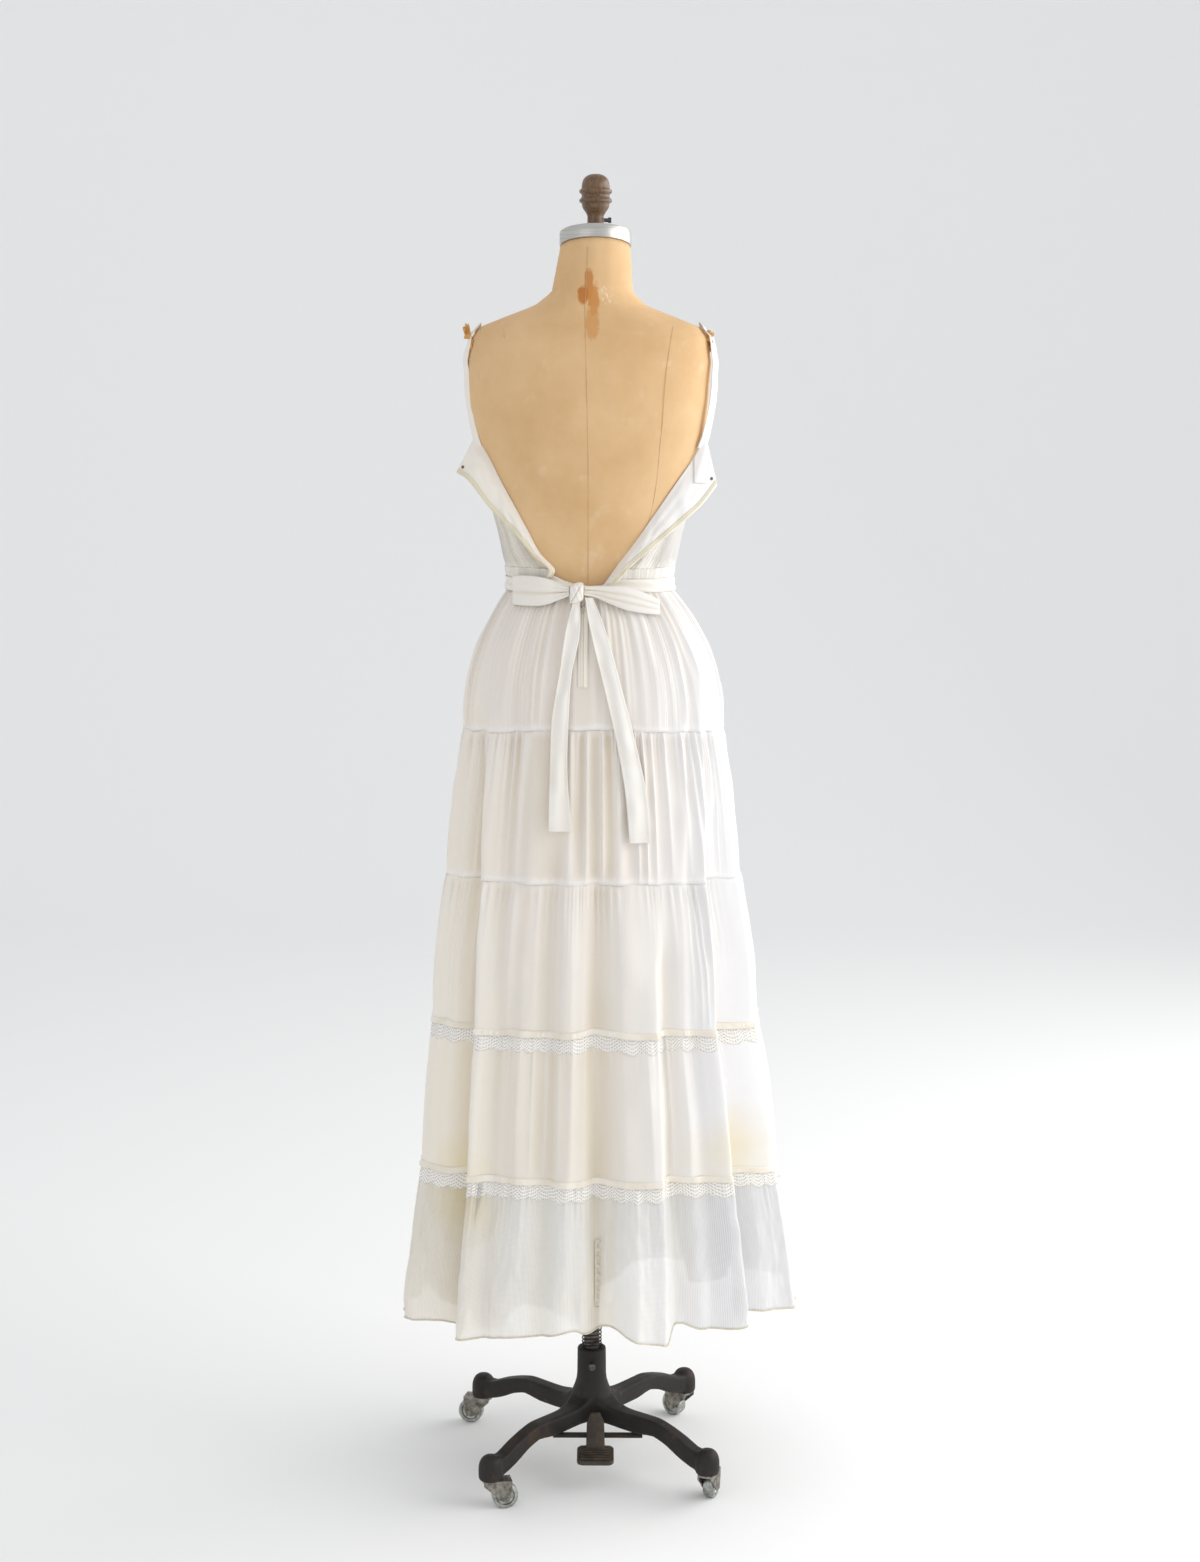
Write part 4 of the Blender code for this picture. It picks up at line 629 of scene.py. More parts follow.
def gathers(across, down, count, seed, reach):
    # crimped folds that start at a gathered seam and die out unevenly below it
    phase = count * across + 0.9 * wander(across, seed, count // 2)
    phase = phase + 0.5 * wander(across, seed + 1, count // 5)
    ridge = 1 - 2 * np.abs(np.sin(pi * phase)) ** 0.8
    strength = 0.55 + 0.45 * wander(across, seed + 2, count // 2)
    length = reach * (1 + 0.6 * wander(across, seed + 3, count // 3))
    return ridge * strength * np.exp(-(down / length) ** 1.2)


# Body of the form

neckLean = radians(13.4)  # the neck's top edge tips forwards

torso = {
    "shift": -0.006,
    "lean": tan(neckLean),
    "wall": 0.004,
    "columns": ("height", "half", "back", "front", "lean", "power"),
    "rows": (
        (0.865, 0.160, 0.094, 0.106, 0.0, 2.2), (0.990, 0.173, 0.100, 0.110, 0.0, 2.2),
        (1.090, 0.167, 0.094, 0.106, 0.0, 2.2), (1.180, 0.146, 0.082, 0.100, 0.0, 2.2),
        (1.235, 0.122, 0.073, 0.096, 0.0, 2.2), (1.300, 0.109, 0.070, 0.094, 0.0, 2.2),
        (1.367, 0.123, 0.078, 0.108, 0.0, 2.2), (1.430, 0.141, 0.089, 0.134, 0.0, 2.2),
        (1.500, 0.160, 0.099, 0.156, 0.0, 2.2), (1.550, 0.167, 0.103, 0.150, 0.0, 2.2),
        (1.600, 0.169, 0.101, 0.126, 0.0, 2.2), (1.634, 0.163, 0.090, 0.096, 0.0, 2.2),
        (1.6485, 0.150, 0.079, 0.074, 0.0, 2.2), (1.659, 0.124, 0.068, 0.060, 0.0, 2.1),
        (1.677, 0.077, 0.057, 0.052, 0.0, 2.0), (1.695, 0.056, 0.051, 0.049, 0.3, 2.0),
        (1.7558, 0.048, 0.048, 0.048, 1.0, 2.0),
    ),
}
torsoTable = {name: np.array([row[k] for row in torso["rows"]]) for k, name in enumerate(torso["columns"])}


def oval(angle, left, right, back, front, power):
    s = np.sin(angle)
    c = np.cos(angle)
    x = np.where(s > 0, right, left) * np.sign(s) * np.abs(s) ** (2 / power)
    y = -np.where(c > 0, back, front) * np.sign(c) * np.abs(c) ** (2 / power)
    return x, y


def torsoValue(name, height):
    return np.interp(height, torsoTable["height"], torsoTable[name])


def torsoPoint(angle, height, out=0.0):
    half = torsoValue("half", height) + out
    x, y = oval(angle, half, half, torsoValue("back", height) + out, torsoValue("front", height) + out,
                torsoValue("power", height))
    lean = torsoValue("lean", height)
    return np.stack([x + torso["shift"] * (1 - lean), y, height - lean * torso["lean"] * y], axis=-1)


def backDepth(x, height, out):
    half = torsoValue("half", height) + out
    back = torsoValue("back", height) + out
    power = torsoValue("power", height)
    share = np.minimum(np.abs(x - torso["shift"]) / half, 0.985)
    return -back * (1 - share ** power) ** (1 / power)


def backAngle(x, height):
    share = np.minimum(np.abs(x - torso["shift"]) / torsoValue("half", height), 0.999)
    return np.sign(x - torso["shift"]) * np.arcsin(share ** (torsoValue("power", height) / 2))


def wrapped(angle):
    # the same angle, from -pi to pi
    return (angle + pi) % (2 * pi) - pi


# Skirt form

skirt = {
    "top": 1.2877,
    "drops": (0.1957, 0.206, 0.206, 0.210, 0.220),
    "waist": {"left": 0.1205, "right": 0.1085, "back": 0.0765, "front": 0.1000},
    "left": (0.183, 0.207, 0.228, 0.244, 0.272),
    "right": (0.184, 0.210, 0.237, 0.267, 0.295),
    "back": (0.107, 0.117, 0.136, 0.148, 0.163),
    "front": (0.120, 0.130, 0.146, 0.160, 0.180),
    "rise": (2.2, 1.4, 1.8, 1.6, 1.3),
    "waves": (18, 20, 21, 23, 27),
    "gather": (0.0020, 0.0022, 0.0024, 0.0024, 0.0028),
    "hemWave": (0.0010, 0.0010, 0.0010, 0.0010, 0.0052),
    "folds": (50, 58, 46, 48, 62),  # folds that run the whole drop
    "foldSize": (0.0036, 0.0038, 0.0019, 0.0014, 0.0017),
    "crimps": (126, 146, 156, 168, 196),  # short gathers under each seam
    "crimpSize": (0.0022, 0.0028, 0.0028, 0.0020, 0.0026),
    "crimpReach": (0.50, 0.24, 0.20, 0.16, 0.20),
    "power": 2.2,
    "seamLift": 0.008,
    "hemTilt": 0.010,
    "tuck": 0.02,  # share of the drop that goes up under the tier above
    "hemRoll": 0.0011,  # half of the rolled hem's thickness
    "columns": 840,
    "rows": 38,
    "around": (0.90, 1.12, 1.25, 1.40, 1.72),  # length round each tier, which sets the weave's scale
    "finishes": ("voile", "voile", "trimmed", "trimmed", "sheer"),
    "cuts": ((0.95, 0.196), (1.20, 0.206), (1.35, 0.206), (1.50, 0.210), (1.85, 0.220)),
}
seams = skirt["top"] - np.concatenate([[0.0], np.cumsum(skirt["drops"])])

# Main creases: their angle at the waist, the second seam and the hem, the height where
# each starts, its width to either side in degrees, and how far it stands out at the top and at the hem
creases = {
    "columns": ("waistAngle", "seamAngle", "hemAngle", "start", "leftWidth", "rightWidth", "outTop",
                "outHem"),
    "rows": (
        (57, 43.5, 42.5, 1.26, 5, 1.8, 0.0045, 0.019), (64, 51, 50, 1.02, 3.5, 8, -0.004, -0.034),
        (70, 67, 69, 1.10, 5, 5, 0.003, 0.011), (50, 37, 34, 1.24, 2.5, 3, -0.002, -0.004),
        (48, 33, 29, 1.22, 4, 2.5, 0.002, 0.004), (24, 20, 17.2, 0.80, 7, 1.7, 0.001, 0.020),
        (30, 25, 22.6, 0.86, 2.2, 6, -0.002, -0.018), (10, 9, 9, 0.92, 3, 5, 0.002, 0.009),
        (5, 0.8, 1.3, 0.95, 1.9, 3.6, -0.003, -0.024), (-6, -6, -7, 0.95, 6, 2.5, 0.002, 0.010),
        (-13, -13, -13, 0.98, 5, 3, -0.003, -0.012), (-24, -23, -22, 1.22, 3, 5, 0.002, 0.006),
        (-36, -34, -33, 1.20, 5, 3, -0.003, -0.004), (-56, -44, -39.6, 1.16, 1.8, 6, 0.0035, 0.017),
        (-62, -50, -46.6, 1.12, 7, 3, -0.004, -0.036), (-80, -74, -72, 1.10, 5, 6, 0.003, 0.011),
        (88, 90, 92, 1.15, 6, 5, -0.003, -0.010), (108, 110, 112, 1.00, 7, 5, 0.003, 0.012),
        (128, 129, 130, 1.15, 5, 6, -0.004, -0.014), (150, 149, 148, 0.95, 6, 4, 0.003, 0.014),
        (172, 171, 170, 1.10, 6, 5, -0.003, -0.013), (-166, -167, -168, 0.90, 6, 7, 0.003, 0.012),
        (-146, -145, -144, 1.20, 5, 5, -0.004, -0.014), (-124, -123, -122, 0.95, 8, 4, 0.003, 0.016),
        (-104, -103, -102, 1.05, 6, 4, -0.003, -0.012),
    ),
    "growsOver": 0.10,
    "troughDepth": 0.040,  # depth at which the painted shade in a crease is at its darkest and warmest
    # height at which the painted highlight on a crease is at its whitest
    "ridgeHeight": 0.040,
    "shadeFadesTowardWindow": (34, 60, 0.2),  # from and to these degrees, on the side toward the window lamp, the painted crease shade and highlight fall to this share
}
creaseTable = {name: [row[k] for row in creases["rows"]] for k, name in enumerate(creases["columns"])}

# The last tier's edge: angle, and how far it is lifted
hemLine = (
    (-180, 0.0), (-70, 0.002), (-52, 0.005), (-44, -0.003), (-36, -0.004), (-22, 0.001), (-12, 0.003),
    (-4, 0.011), (0, 0.005), (3, 0.011), (10, -0.002), (16.5, -0.010), (18.8, -0.010), (20.5, 0.002),
    (30, 0.000), (40, 0.000), (44, 0.004), (60, 0.004), (80, 0.002), (180, 0.0),
)


def skirtSize(side, height):
    size = np.full_like(height, skirt["waist"][side])
    for tier in range(5):
        above = skirt["waist"][side] if tier == 0 else skirt[side][tier - 1]
        share = np.clip((seams[tier] - height) / skirt["drops"][tier], 0.0, 1.0)
        eased = 1 - (1 - share) ** skirt["rise"][tier]
        size = np.where(height <= seams[tier], above + (skirt[side][tier] - above) * eased, size)
    return size


def creaseOut(angle, height):
    total = np.zeros_like(angle)
    share = np.clip((skirt["top"] - height) / (skirt["top"] - seams[-1]), 0, 1.1)
    spots = (-skirt["top"], -seams[2], -seams[5])
    for place in range(len(creases["rows"])):
        row = {name: creaseTable[name][place] for name in creases["columns"]}
        middle = np.radians(smooth(-height, spots, (row["waistAngle"], row["seamAngle"], row["hemAngle"])))
        grown = np.clip((row["start"] - height) / creases["growsOver"], 0, 1)
        out = row["outTop"] * (1 - share) + row["outHem"] * share
        apart = wrapped(angle - middle)
        width = np.radians(np.where(apart < 0, row["leftWidth"], row["rightWidth"]))
        total += grown * grown * (3 - 2 * grown) * out * np.exp(-(apart / width) ** 2)
    return total


def creaseShade(angle, height):
    # painted shade in crease troughs and painted highlight on crease ridges, as a fold value, weaker toward
    # the window lamp
    crease = creaseOut(angle, height)
    turned = np.degrees(wrapped(angle))
    low, high, least = creases["shadeFadesTowardWindow"]
    share = np.interp(turned, (low, high, 120, 150), (1.0, least, least, 1.0))
    return share * np.where(crease < 0, crease / creases["troughDepth"], crease / creases["ridgeHeight"])


def seamLift(angle, height):
    lift = np.interp(height, [seams[2], seams[1], seams[0]], [0.0, skirt["seamLift"], 0.0])
    sway = np.interp(height, [seams[5], seams[4]], [skirt["hemTilt"], 0.0])
    return lift * np.maximum(np.cos(angle), 0) ** 2 + sway * np.sin(angle)


def skirtPoint(angle, height, out=0.0):
    stand = out + creaseOut(angle, height)
    sizes = [skirtSize(side, height) + stand for side in ("left", "right", "back", "front")]
    x, y = oval(angle, *sizes, skirt["power"])
    return np.stack([x, y, height + seamLift(angle, height)], axis=-1)


def skirtAngle(x, height):
    size = np.where(x > 0, skirtSize("right", height), skirtSize("left", height))
    share = np.minimum(np.abs(x) / size, 0.999)
    return np.sign(x) * np.arcsin(share ** (skirt["power"] / 2))


def onSkirt(x, height, out=0.0):
    x = np.asarray(x, dtype=float)
    height = np.asarray(height, dtype=float) + 0 * x
    found = skirtPoint(skirtAngle(x, height), height, out)
    return np.stack([x + 0 * height, found[..., 1], height], axis=-1)


# Skirt tiers

def tierAngle(tier, across):
    even = 2 * pi * across
    pitch = 2 * pi / (4 * skirt["waves"][tier])
    return even + pitch * (0.9 * np.sin(3 * even + tier) + 0.7 * np.sin(7 * even + 2 * tier))


def tierOut(tier, across, down):
    # how far the gathered cloth stands out of the skirt's plain form, and the painted shade and highlight of
    # its gathers and folds
    even = 2 * pi * across
    wave = np.cos(2 * pi * skirt["waves"][tier] * across) * (0.72 + 0.28 * np.sin(5 * even + 1.7 * tier))
    size = np.interp(down, (0.0, 0.2, 1.0), (0.4, 1.0, 0.0)) * skirt["gather"][tier]
    size = size + skirt["hemWave"][tier] * np.maximum(0.0, (down - 0.3) / 0.7)
    held = np.clip(down / 0.05, 0.3, 1.0)
    caught = np.clip((1 - down) / 0.08, 0.30, 1.0) if tier < 4 else 1.0
    crimp = gathers(across, down, skirt["crimps"][tier], 11 + tier, skirt["crimpReach"][tier]) * held
    folds = longFolds(across, down, skirt["folds"][tier], 71 + tier) * held * caught
    drift = patches(across, down, 31 + tier, 60, 5) * 0.0016 * np.sin(pi * np.clip(down, 0, 1))
    out = size * wave + crimp * skirt["crimpSize"][tier] + folds * skirt["foldSize"][tier] + drift
    if tier == 4:
        # the sheer tier is creased all over, in short slanting dents
        out = out + 0.0013 * patches(across + 0.01 * down, down, 91, 150, 9) * np.clip(down * 4, 0, 1)
        out = out + 0.0007 * patches(across - 0.012 * down, down, 92, 330, 16) * np.clip(down * 4, 0, 1)
    # painted shade in troughs and painted highlight on ridges, given as the fold value
    tint = 0.5 * folds * skirt["foldSize"][tier] / 0.0036 + 0.4 * crimp
    return out, tint


def seamSway(number, angle):
    # the gathered seams run a little up and down
    round_ = (angle / (2 * pi)) % 1.0
    return 0.0013 * wander(round_, 95 + number, 64) + 0.0014 * wander(round_, 105 + number, 17)


def tierPlace(tier):
    def place(across, down):
        fall = down * (1 + skirt["tuck"]) - skirt["tuck"]
        angle = tierAngle(tier, across)
        height = seams[tier] - 0.00015 - (skirt["drops"][tier] - 0.0003) * fall
        share = np.clip(fall, 0, 1)
        height = height + seamSway(tier, angle) * (1 - share) * (tier > 0)
        height = height + seamSway(tier + 1, angle) * share * (tier < 4)
        out, tint = tierOut(tier, across, np.maximum(fall, 0))
        under = np.clip(-fall / skirt["tuck"], 0, 1)
        over = 0.0009 * np.exp(-((1 - fall) * skirt["drops"][tier] / 0.004) ** 2) if tier < 4 else 0.0
        points = skirtPoint(angle, height, out * (1 - 0.6 * under) - 0.0012 * under + over)
        if tier == 4:
            lift = smooth(np.degrees(wrapped(angle)), [row[0] for row in hemLine],
                          [row[1] for row in hemLine])
            points[:, 2] += lift * np.clip(fall, 0, 1) ** 2
        # the fold value carries the painted shade and highlight of the gathers and creases
        return points, tint + creaseShade(angle, height)

    return place


def makeTiers():
    pieces = []
    for tier in range(5):
        name = "skirt_tier_" + str(tier + 1)
        size = (skirt["around"][tier], skirt["drops"][tier])
        piece = clothGrid("tier" + str(tier + 1), skirt["columns"], skirt["rows"], tierPlace(tier), size,
                          closed=True, thickness=0.0005)
        pieces.append(finishPiece(piece, skirt["finishes"][tier], "form", [name]))
    return pieces


def makeHem():
    # a rolled hem round the last tier's edge
    around = np.linspace(0, 1, 720, endpoint=False)
    edge = tierPlace(4)(around, np.ones_like(around))[0] + postAxis
    roll = tubeAlong("rolledHem", edge, skirt["hemRoll"], 1, closed=True)
    return finishPiece(roll, "hem", "form")


lining = {
    "angles": (-180, -120, -80, -50, -45, -29, -28, -20.5, -9, -1.4, 0.5, 11.5, 15.8, 20.2, 28.1, 29.2, 40.3,
               44.4, 80,
               140, 180),
    "hems": (0.315, 0.300, 0.295, 0.262, 0.249, 0.248, 0.264, 0.289, 0.2755, 0.259, 0.300, 0.355, 0.355,
             0.3665,
             0.356, 0.316, 0.316, 0.321, 0.330, 0.325, 0.315),
    "insetTop": 0.0130,
    "insetHem": 0.0240,
}


def makeLining():
    def place(across, down):
        angle = 2 * pi * across
        low = np.interp(np.degrees(wrapped(angle)), lining["angles"], lining["hems"])
        height = (seams[4] - 0.0003) * (1 - down) + low * down
        inset = lining["insetTop"] * (1 - down) + lining["insetHem"] * down
        soft = 0.0020 * gathers(across, down, 70, 5, 1.2) + 0.0020 * patches(across, down, 6, 40, 3)
        crease = creaseOut(angle, height)
        stand = np.minimum(crease, 0) - inset + soft
        sizes = [skirtSize(side, height) + stand for side in ("left", "right", "back", "front")]
        x, y = oval(angle, *sizes, skirt["power"])
        # its fold value paints shade in the creases' troughs and highlight on their ridges
        return np.stack([x, y, height], axis=-1), 0.6 * crease / creases["troughDepth"]

    piece = clothGrid("liningCloth", 420, 18, place, (1.45, 0.17), closed=True)
    return finishPiece(piece, "lining", "form", ["lining"])


print("skirt")
tiers = makeTiers()
hem = makeHem()
liningPiece = makeLining()


# Lace and ribbon

trim = {
    "laceRise": 0.0006,
    "laceHeight": 0.0285,
    "ribbonHeight": 0.0100,
    "scallop": 0.026,  # width of one scallop
    "dip": 0.0055,
    "around": (1.40, 1.55),
}


def trimPoint(number, across, fall, out, level):
    # fall is the distance below the lace's upper edge; the trim lies on the gathers, no deeper than level
    tier = number + 2
    under = np.maximum(fall - trim["laceRise"], 0)
    standing, tint = tierOut(tier, across, under / skirt["drops"][tier])
    share = np.clip(under / 0.004, 0, 1)
    angle = tierAngle(tier, across)
    height = seams[tier] + trim["laceRise"] - fall + seamSway(tier, angle)
    flat = 0.0018 * (1 - share) + np.maximum(standing, level) * share
    points = skirtPoint(angle, height, flat + out)
    return points, 0.5 * tint + 0.6 * creaseShade(angle, height)


def makeTrims():
    for number in (1, 2):
        around = trim["around"][number - 1]
        scallops = round(around / trim["scallop"])

        def lacePlace(across, down):
            edge = trim["laceHeight"] - trim["dip"] * (1 - np.abs(np.sin(pi * scallops * across)))
            return trimPoint(number, across, edge * down, 0.0004, -0.0010)

        size = (around, trim["laceHeight"])
        piece = clothGrid("lace" + str(number), 840, 8, lacePlace, size, closed=True, thickness=0.0003)
        finishPiece(piece, "lace", "form", ["lace_" + str(number)])

        def ribbonPlace(across, down):
            clump = np.clip(wander(across, 50 + number, 38) * 1.6 + 0.25, 0, 1)
            crush = np.abs(wander(across, 60 + number, 460)) ** 1.5 * clump
            fall = trim["laceRise"] + (down - 0.42) * trim["ribbonHeight"] * (1 - 0.12 * crush)
            # its upper edge is sewn down into the gathers
            sewn = 0.0030 * np.exp(-(down / 0.12) ** 2)
            return trimPoint(number, across, fall, 0.0006 - sewn + 0.0020 * crush * np.sin(pi * down),
                             0.0022)

        piece = clothGrid("ribbon" + str(number), 1380, 6, ribbonPlace, (around, trim["ribbonHeight"]),
                          closed=True,
                          thickness=0.0003)
        finishPiece(piece, "satin", "form", ["ribbon_" + str(number)])


print("lace and ribbon")
makeTrims()


# Bodice

bodice = {
    "neckAngles": (91, 110, 127, 153, 180, 207, 233, 250, 269),
    "neckHeights": (1.488, 1.528, 1.554, 1.548, 1.543, 1.548, 1.554, 1.528, 1.488),
    "top": 1.488,
    "bandTop": 1.3200,
    "bandBottom": 1.3045,
    "sashBottom": 1.2880,
    "frontOut": 0.0036,
    "backOut": 0.0032,
}

flapColumns = ("foldX", "foldZ", "edgeX", "edgeZ", "edgeY")
flapRows = {
    "left": (
        (-0.164, 1.500, -0.191, 1.449, -0.036), (-0.146, 1.473, -0.173, 1.438, -0.054),
        (-0.129, 1.440, -0.145, 1.403, -0.060), (-0.112, 1.409, -0.123, 1.381, -0.063),
        (-0.093, 1.375, -0.105, 1.362, -0.068), (-0.075, 1.342, -0.087, 1.341, -0.072),
        (-0.0545, 1.3200, -0.064, 1.3210, -0.080), (-0.0568, 1.3080, -0.064, 1.3090, -0.0815),
    ),
    "right": (
        (0.152, 1.504, 0.169, 1.433, -0.036), (0.136, 1.471, 0.149, 1.408, -0.050),
        (0.115, 1.441, 0.128, 1.389, -0.060), (0.094, 1.411, 0.108, 1.372, -0.066),
        (0.076, 1.385, 0.090, 1.357, -0.072), (0.057, 1.358, 0.068, 1.339, -0.078),
        (0.034, 1.328, 0.047, 1.3205, -0.083), (0.0235, 1.3135, 0.0385, 1.3110, -0.0850),
        (0.0130, 1.2985, 0.0300, 1.3020, -0.0875),
    ),
}
flapOut = 0.0040


def flapValues(suffix, down):
    rows = flapRows[suffix]
    places = np.linspace(0, 1, len(rows))
    return {name: smooth(down, places, [row[k] for row in rows]) for k, name in enumerate(flapColumns)}


def flapPoint(suffix, across, down, out=0.0):
    at = flapValues(suffix, down)
    fold = np.stack([at["foldX"], backDepth(at["foldX"], at["foldZ"], flapOut), at["foldZ"]], axis=-1)
    # the folded edge itself lies down on the form
    rise = np.clip(across / 0.35, 0, 1)
    sunk = 0.0026 * (1 - rise * rise * (3 - 2 * rise))
    edgeY = np.minimum(at["edgeY"], backDepth(at["edgeX"], at["edgeZ"], flapOut))
    edge = np.stack([at["edgeX"], edgeY, at["edgeZ"]], axis=-1)
    point = fold + (edge - fold) * across[:, None]
    wrinkle = 0.0016 * patches(across, down, 21 + len(suffix), 5, 16) * np.sin(pi * across)
    curl = 0.0012 * np.sin(11 * pi * down) * across * np.clip((down - 0.15) * 3, 0, 1)
    point[:, 1] -= 0.0022 * np.sin(pi * across) + 0.0005 + out + wrinkle + curl - sunk
    return point


def makeBodice():
    def frontPlace(across, down):
        degrees = 91 + 178 * across
        neck = smooth(degrees, bodice["neckAngles"], bodice["neckHeights"])
        height = neck + (bodice["bandTop"] + 0.0003 - neck) * down
        crimp = gathers(across, 1 - down, 64, 15, 0.55)
        ease = 0.0016 * patches(across, down, 16, 16, 4) * np.sin(pi * down)
        out = bodice["frontOut"] + 0.0010 + 0.0022 * crimp * np.clip((1 - down) / 0.06, 0.3, 1) + ease
        # the fold value paints shade in the gathers' hollows and highlight on their ridges
        return torsoPoint(np.radians(degrees), height - 0.003 * down, out), 0.7 * crimp

    piece = clothGrid("bodiceFront", 300, 40, frontPlace, (0.62, 0.22))
    finishPiece(piece, "facing", "form", ["bodice_front"])
    for side, suffix in ((-1, "left"), (1, "right")):
        flap = flapRows[suffix]
        foldZ = [row[1] for row in flap][::-1]
        foldX = [row[0] for row in flap][::-1]

        def backPlace(across, down):
            height = bodice["top"] + (bodice["bandTop"] + 0.0003 - bodice["top"]) * down
            start = backAngle(smooth(height, foldZ, foldX) + side * 0.0025, height)
            shareOut = across if side > 0 else 1 - across
            angle = start + (side * radians(90.2) - start) * shareOut
            crimp = gathers(across, 1 - down, 28, 25 + side, 0.9)
            out = bodice["backOut"] + 0.0016 + 0.0040 * crimp * np.clip((1 - down) / 0.08, 0.3, 1)
            # it comes down to the form under the flap
            out = 0.0008 + (out - 0.0008) * np.clip(shareOut / 0.18, 0, 1)
            # the fold value paints shade in the gathers' hollows and highlight on their ridges
            return torsoPoint(angle, height - 0.003 * down, out), 0.9 * crimp

        piece = clothGrid("bodiceBack" + suffix.title(), 240, 40, backPlace, (0.17, 0.17))
        finishPiece(piece, "facing", "form", ["bodice_back_" + suffix])

        def flapPlace(across, down):
            share = across if side > 0 else 1 - across
            return flapPoint(suffix, share, down)

        piece = clothGrid("backFlap" + suffix.title(), 40, 120, flapPlace, (0.05, 0.21), thickness=0.0009)
        finishPiece(piece, "facing", "form", ["back_flap_" + suffix])

        def tapePlace(across, down):
            at = flapValues(suffix, down)
            width = np.hypot(at["edgeX"] - at["foldX"], at["edgeZ"] - at["foldZ"])
            inner = np.maximum(0.25, 0.97 - 0.0055 / width)
            share = across if side > 0 else 1 - across
            ridge = 0.0005 * (np.abs(share - 0.75) < 0.13)
            return flapPoint(suffix, inner + (0.97 - inner) * share, down, 0.0011 + ridge)

        piece = clothGrid("zipTape" + suffix.title(), 12, 160, tapePlace, (0.0055, 0.21), thickness=0.0005)
        finishPiece(piece, "zipTape", "form", ["zip_tape_" + suffix])


print("bodice")
makeBodice()


strapEnd = {
    "left": 0.1364,
    "right": 0.1550,
    "top": 1.5000,
    "bottom": 1.4370,
    "out": 0.0017,
}


def flapDepth(suffix, x, z):
    # depth of the flap's face behind a point, from the nearest points of the flap
    down, across = np.meshgrid(np.linspace(0, 0.45, 90), np.linspace(0, 1, 40))
    face = flapPoint(suffix, across.ravel(), down.ravel())
    far = np.hypot(face[None, :, 0] - x[:, None], face[None, :, 2] - z[:, None])
    weight = 1 / (far + 0.0008) ** 4
    return (weight * face[None, :, 1]).sum(axis=1) / weight.sum(axis=1)


def makeStrapEnd():
    def place(across, down):
        z = strapEnd["top"] + (strapEnd["bottom"] - strapEnd["top"]) * down
        rows = flapRows["right"]
        fold = smooth(z, [row[1] for row in rows][::-1], [row[0] for row in rows][::-1])
        left = np.maximum(strapEnd["left"], fold + 0.0004)
        x = left + (strapEnd["right"] - left) * across
        y = flapDepth("right", x, z) - strapEnd["out"] - 0.0006 * np.sin(pi * across)
        return np.stack([x, y, z - 0.0012 * across * down], axis=-1)

    piece = clothGrid("strapEndRight", 12, 24, place, (0.017, 0.064), thickness=0.0009)
    finishPiece(piece, "facing", "form", ["strap_end_right"])


strap = {
    "angles": (71, 76, 79, 81, 86, 94, 104, 113, 121, 127),
    "heights": (1.4830, 1.540, 1.596, 1.630, 1.644, 1.6455, 1.636, 1.612, 1.585, 1.5575),
    "leftWidth": 0.012,
    "rightWidth": 0.017,
    "out": 0.0034,
    "twist": 0.0035,
}


def makeStraps():
    for side, suffix in ((-1, "left"), (1, "right")):
        width = strap[suffix + "Width"]

        def place(across, down):
            spots = np.linspace(0, 1, 10)
            angle = side * np.radians(smooth(down, spots, strap["angles"]))
            height = smooth(down, spots, strap["heights"])
            line = torsoPoint(angle, height)
            ahead = torsoPoint(side * np.radians(smooth(down + 0.01, spots, strap["angles"])),
                               smooth(down + 0.01, spots, strap["heights"]))
            before = torsoPoint(side * np.radians(smooth(down - 0.01, spots, strap["angles"])),
                                smooth(down - 0.01, spots, strap["heights"]))
            tangent = ahead - before
            step = 0.002
            round_ = torsoPoint(angle + step, height) - torsoPoint(angle - step, height)
            up = torsoPoint(angle, height + step) - torsoPoint(angle, height - step)
            normal = np.cross(round_, up)
            normal /= np.linalg.norm(normal, axis=-1, keepdims=True)
            sideways = np.cross(tangent, normal)
            sideways /= np.linalg.norm(sideways, axis=-1, keepdims=True)
            swell = 0.0006 * np.sin(pi * across) + 0.0007 * patches(across, down, 33 + side, 3, 30)
            # the band twists a little behind the arm, so that its face is turned to the back
            front = across if side > 0 else 1 - across
            twist = strap["twist"] * front * np.clip((0.42 - down) / 0.16, 0, 1)
            stand = strap["out"] + swell + twist
            return line + normal * stand[:, None] + sideways * ((across - 0.5) * width)[:, None]

        piece = clothGrid("strap" + suffix.title(), 16, 120, place, (width, 0.30), thickness=0.0011)
        faceOut(piece)
        finishPiece(piece, "facing", "form", ["strap_" + suffix])


casingTop = (
    (-180, 1.3200), (-30, 1.3200), (-27, 1.3190), (-24, 1.3115), (-16, 1.3040), (-7, 1.2985), (0, 1.2972),
    (6, 1.2972),
    (8, 1.2990), (13.5, 1.3140), (18, 1.3200), (180, 1.3200),
)


def casingEdge(angle):
    turned = np.degrees(wrapped(angle))
    return np.interp(turned, [row[0] for row in casingTop], [row[1] for row in casingTop])


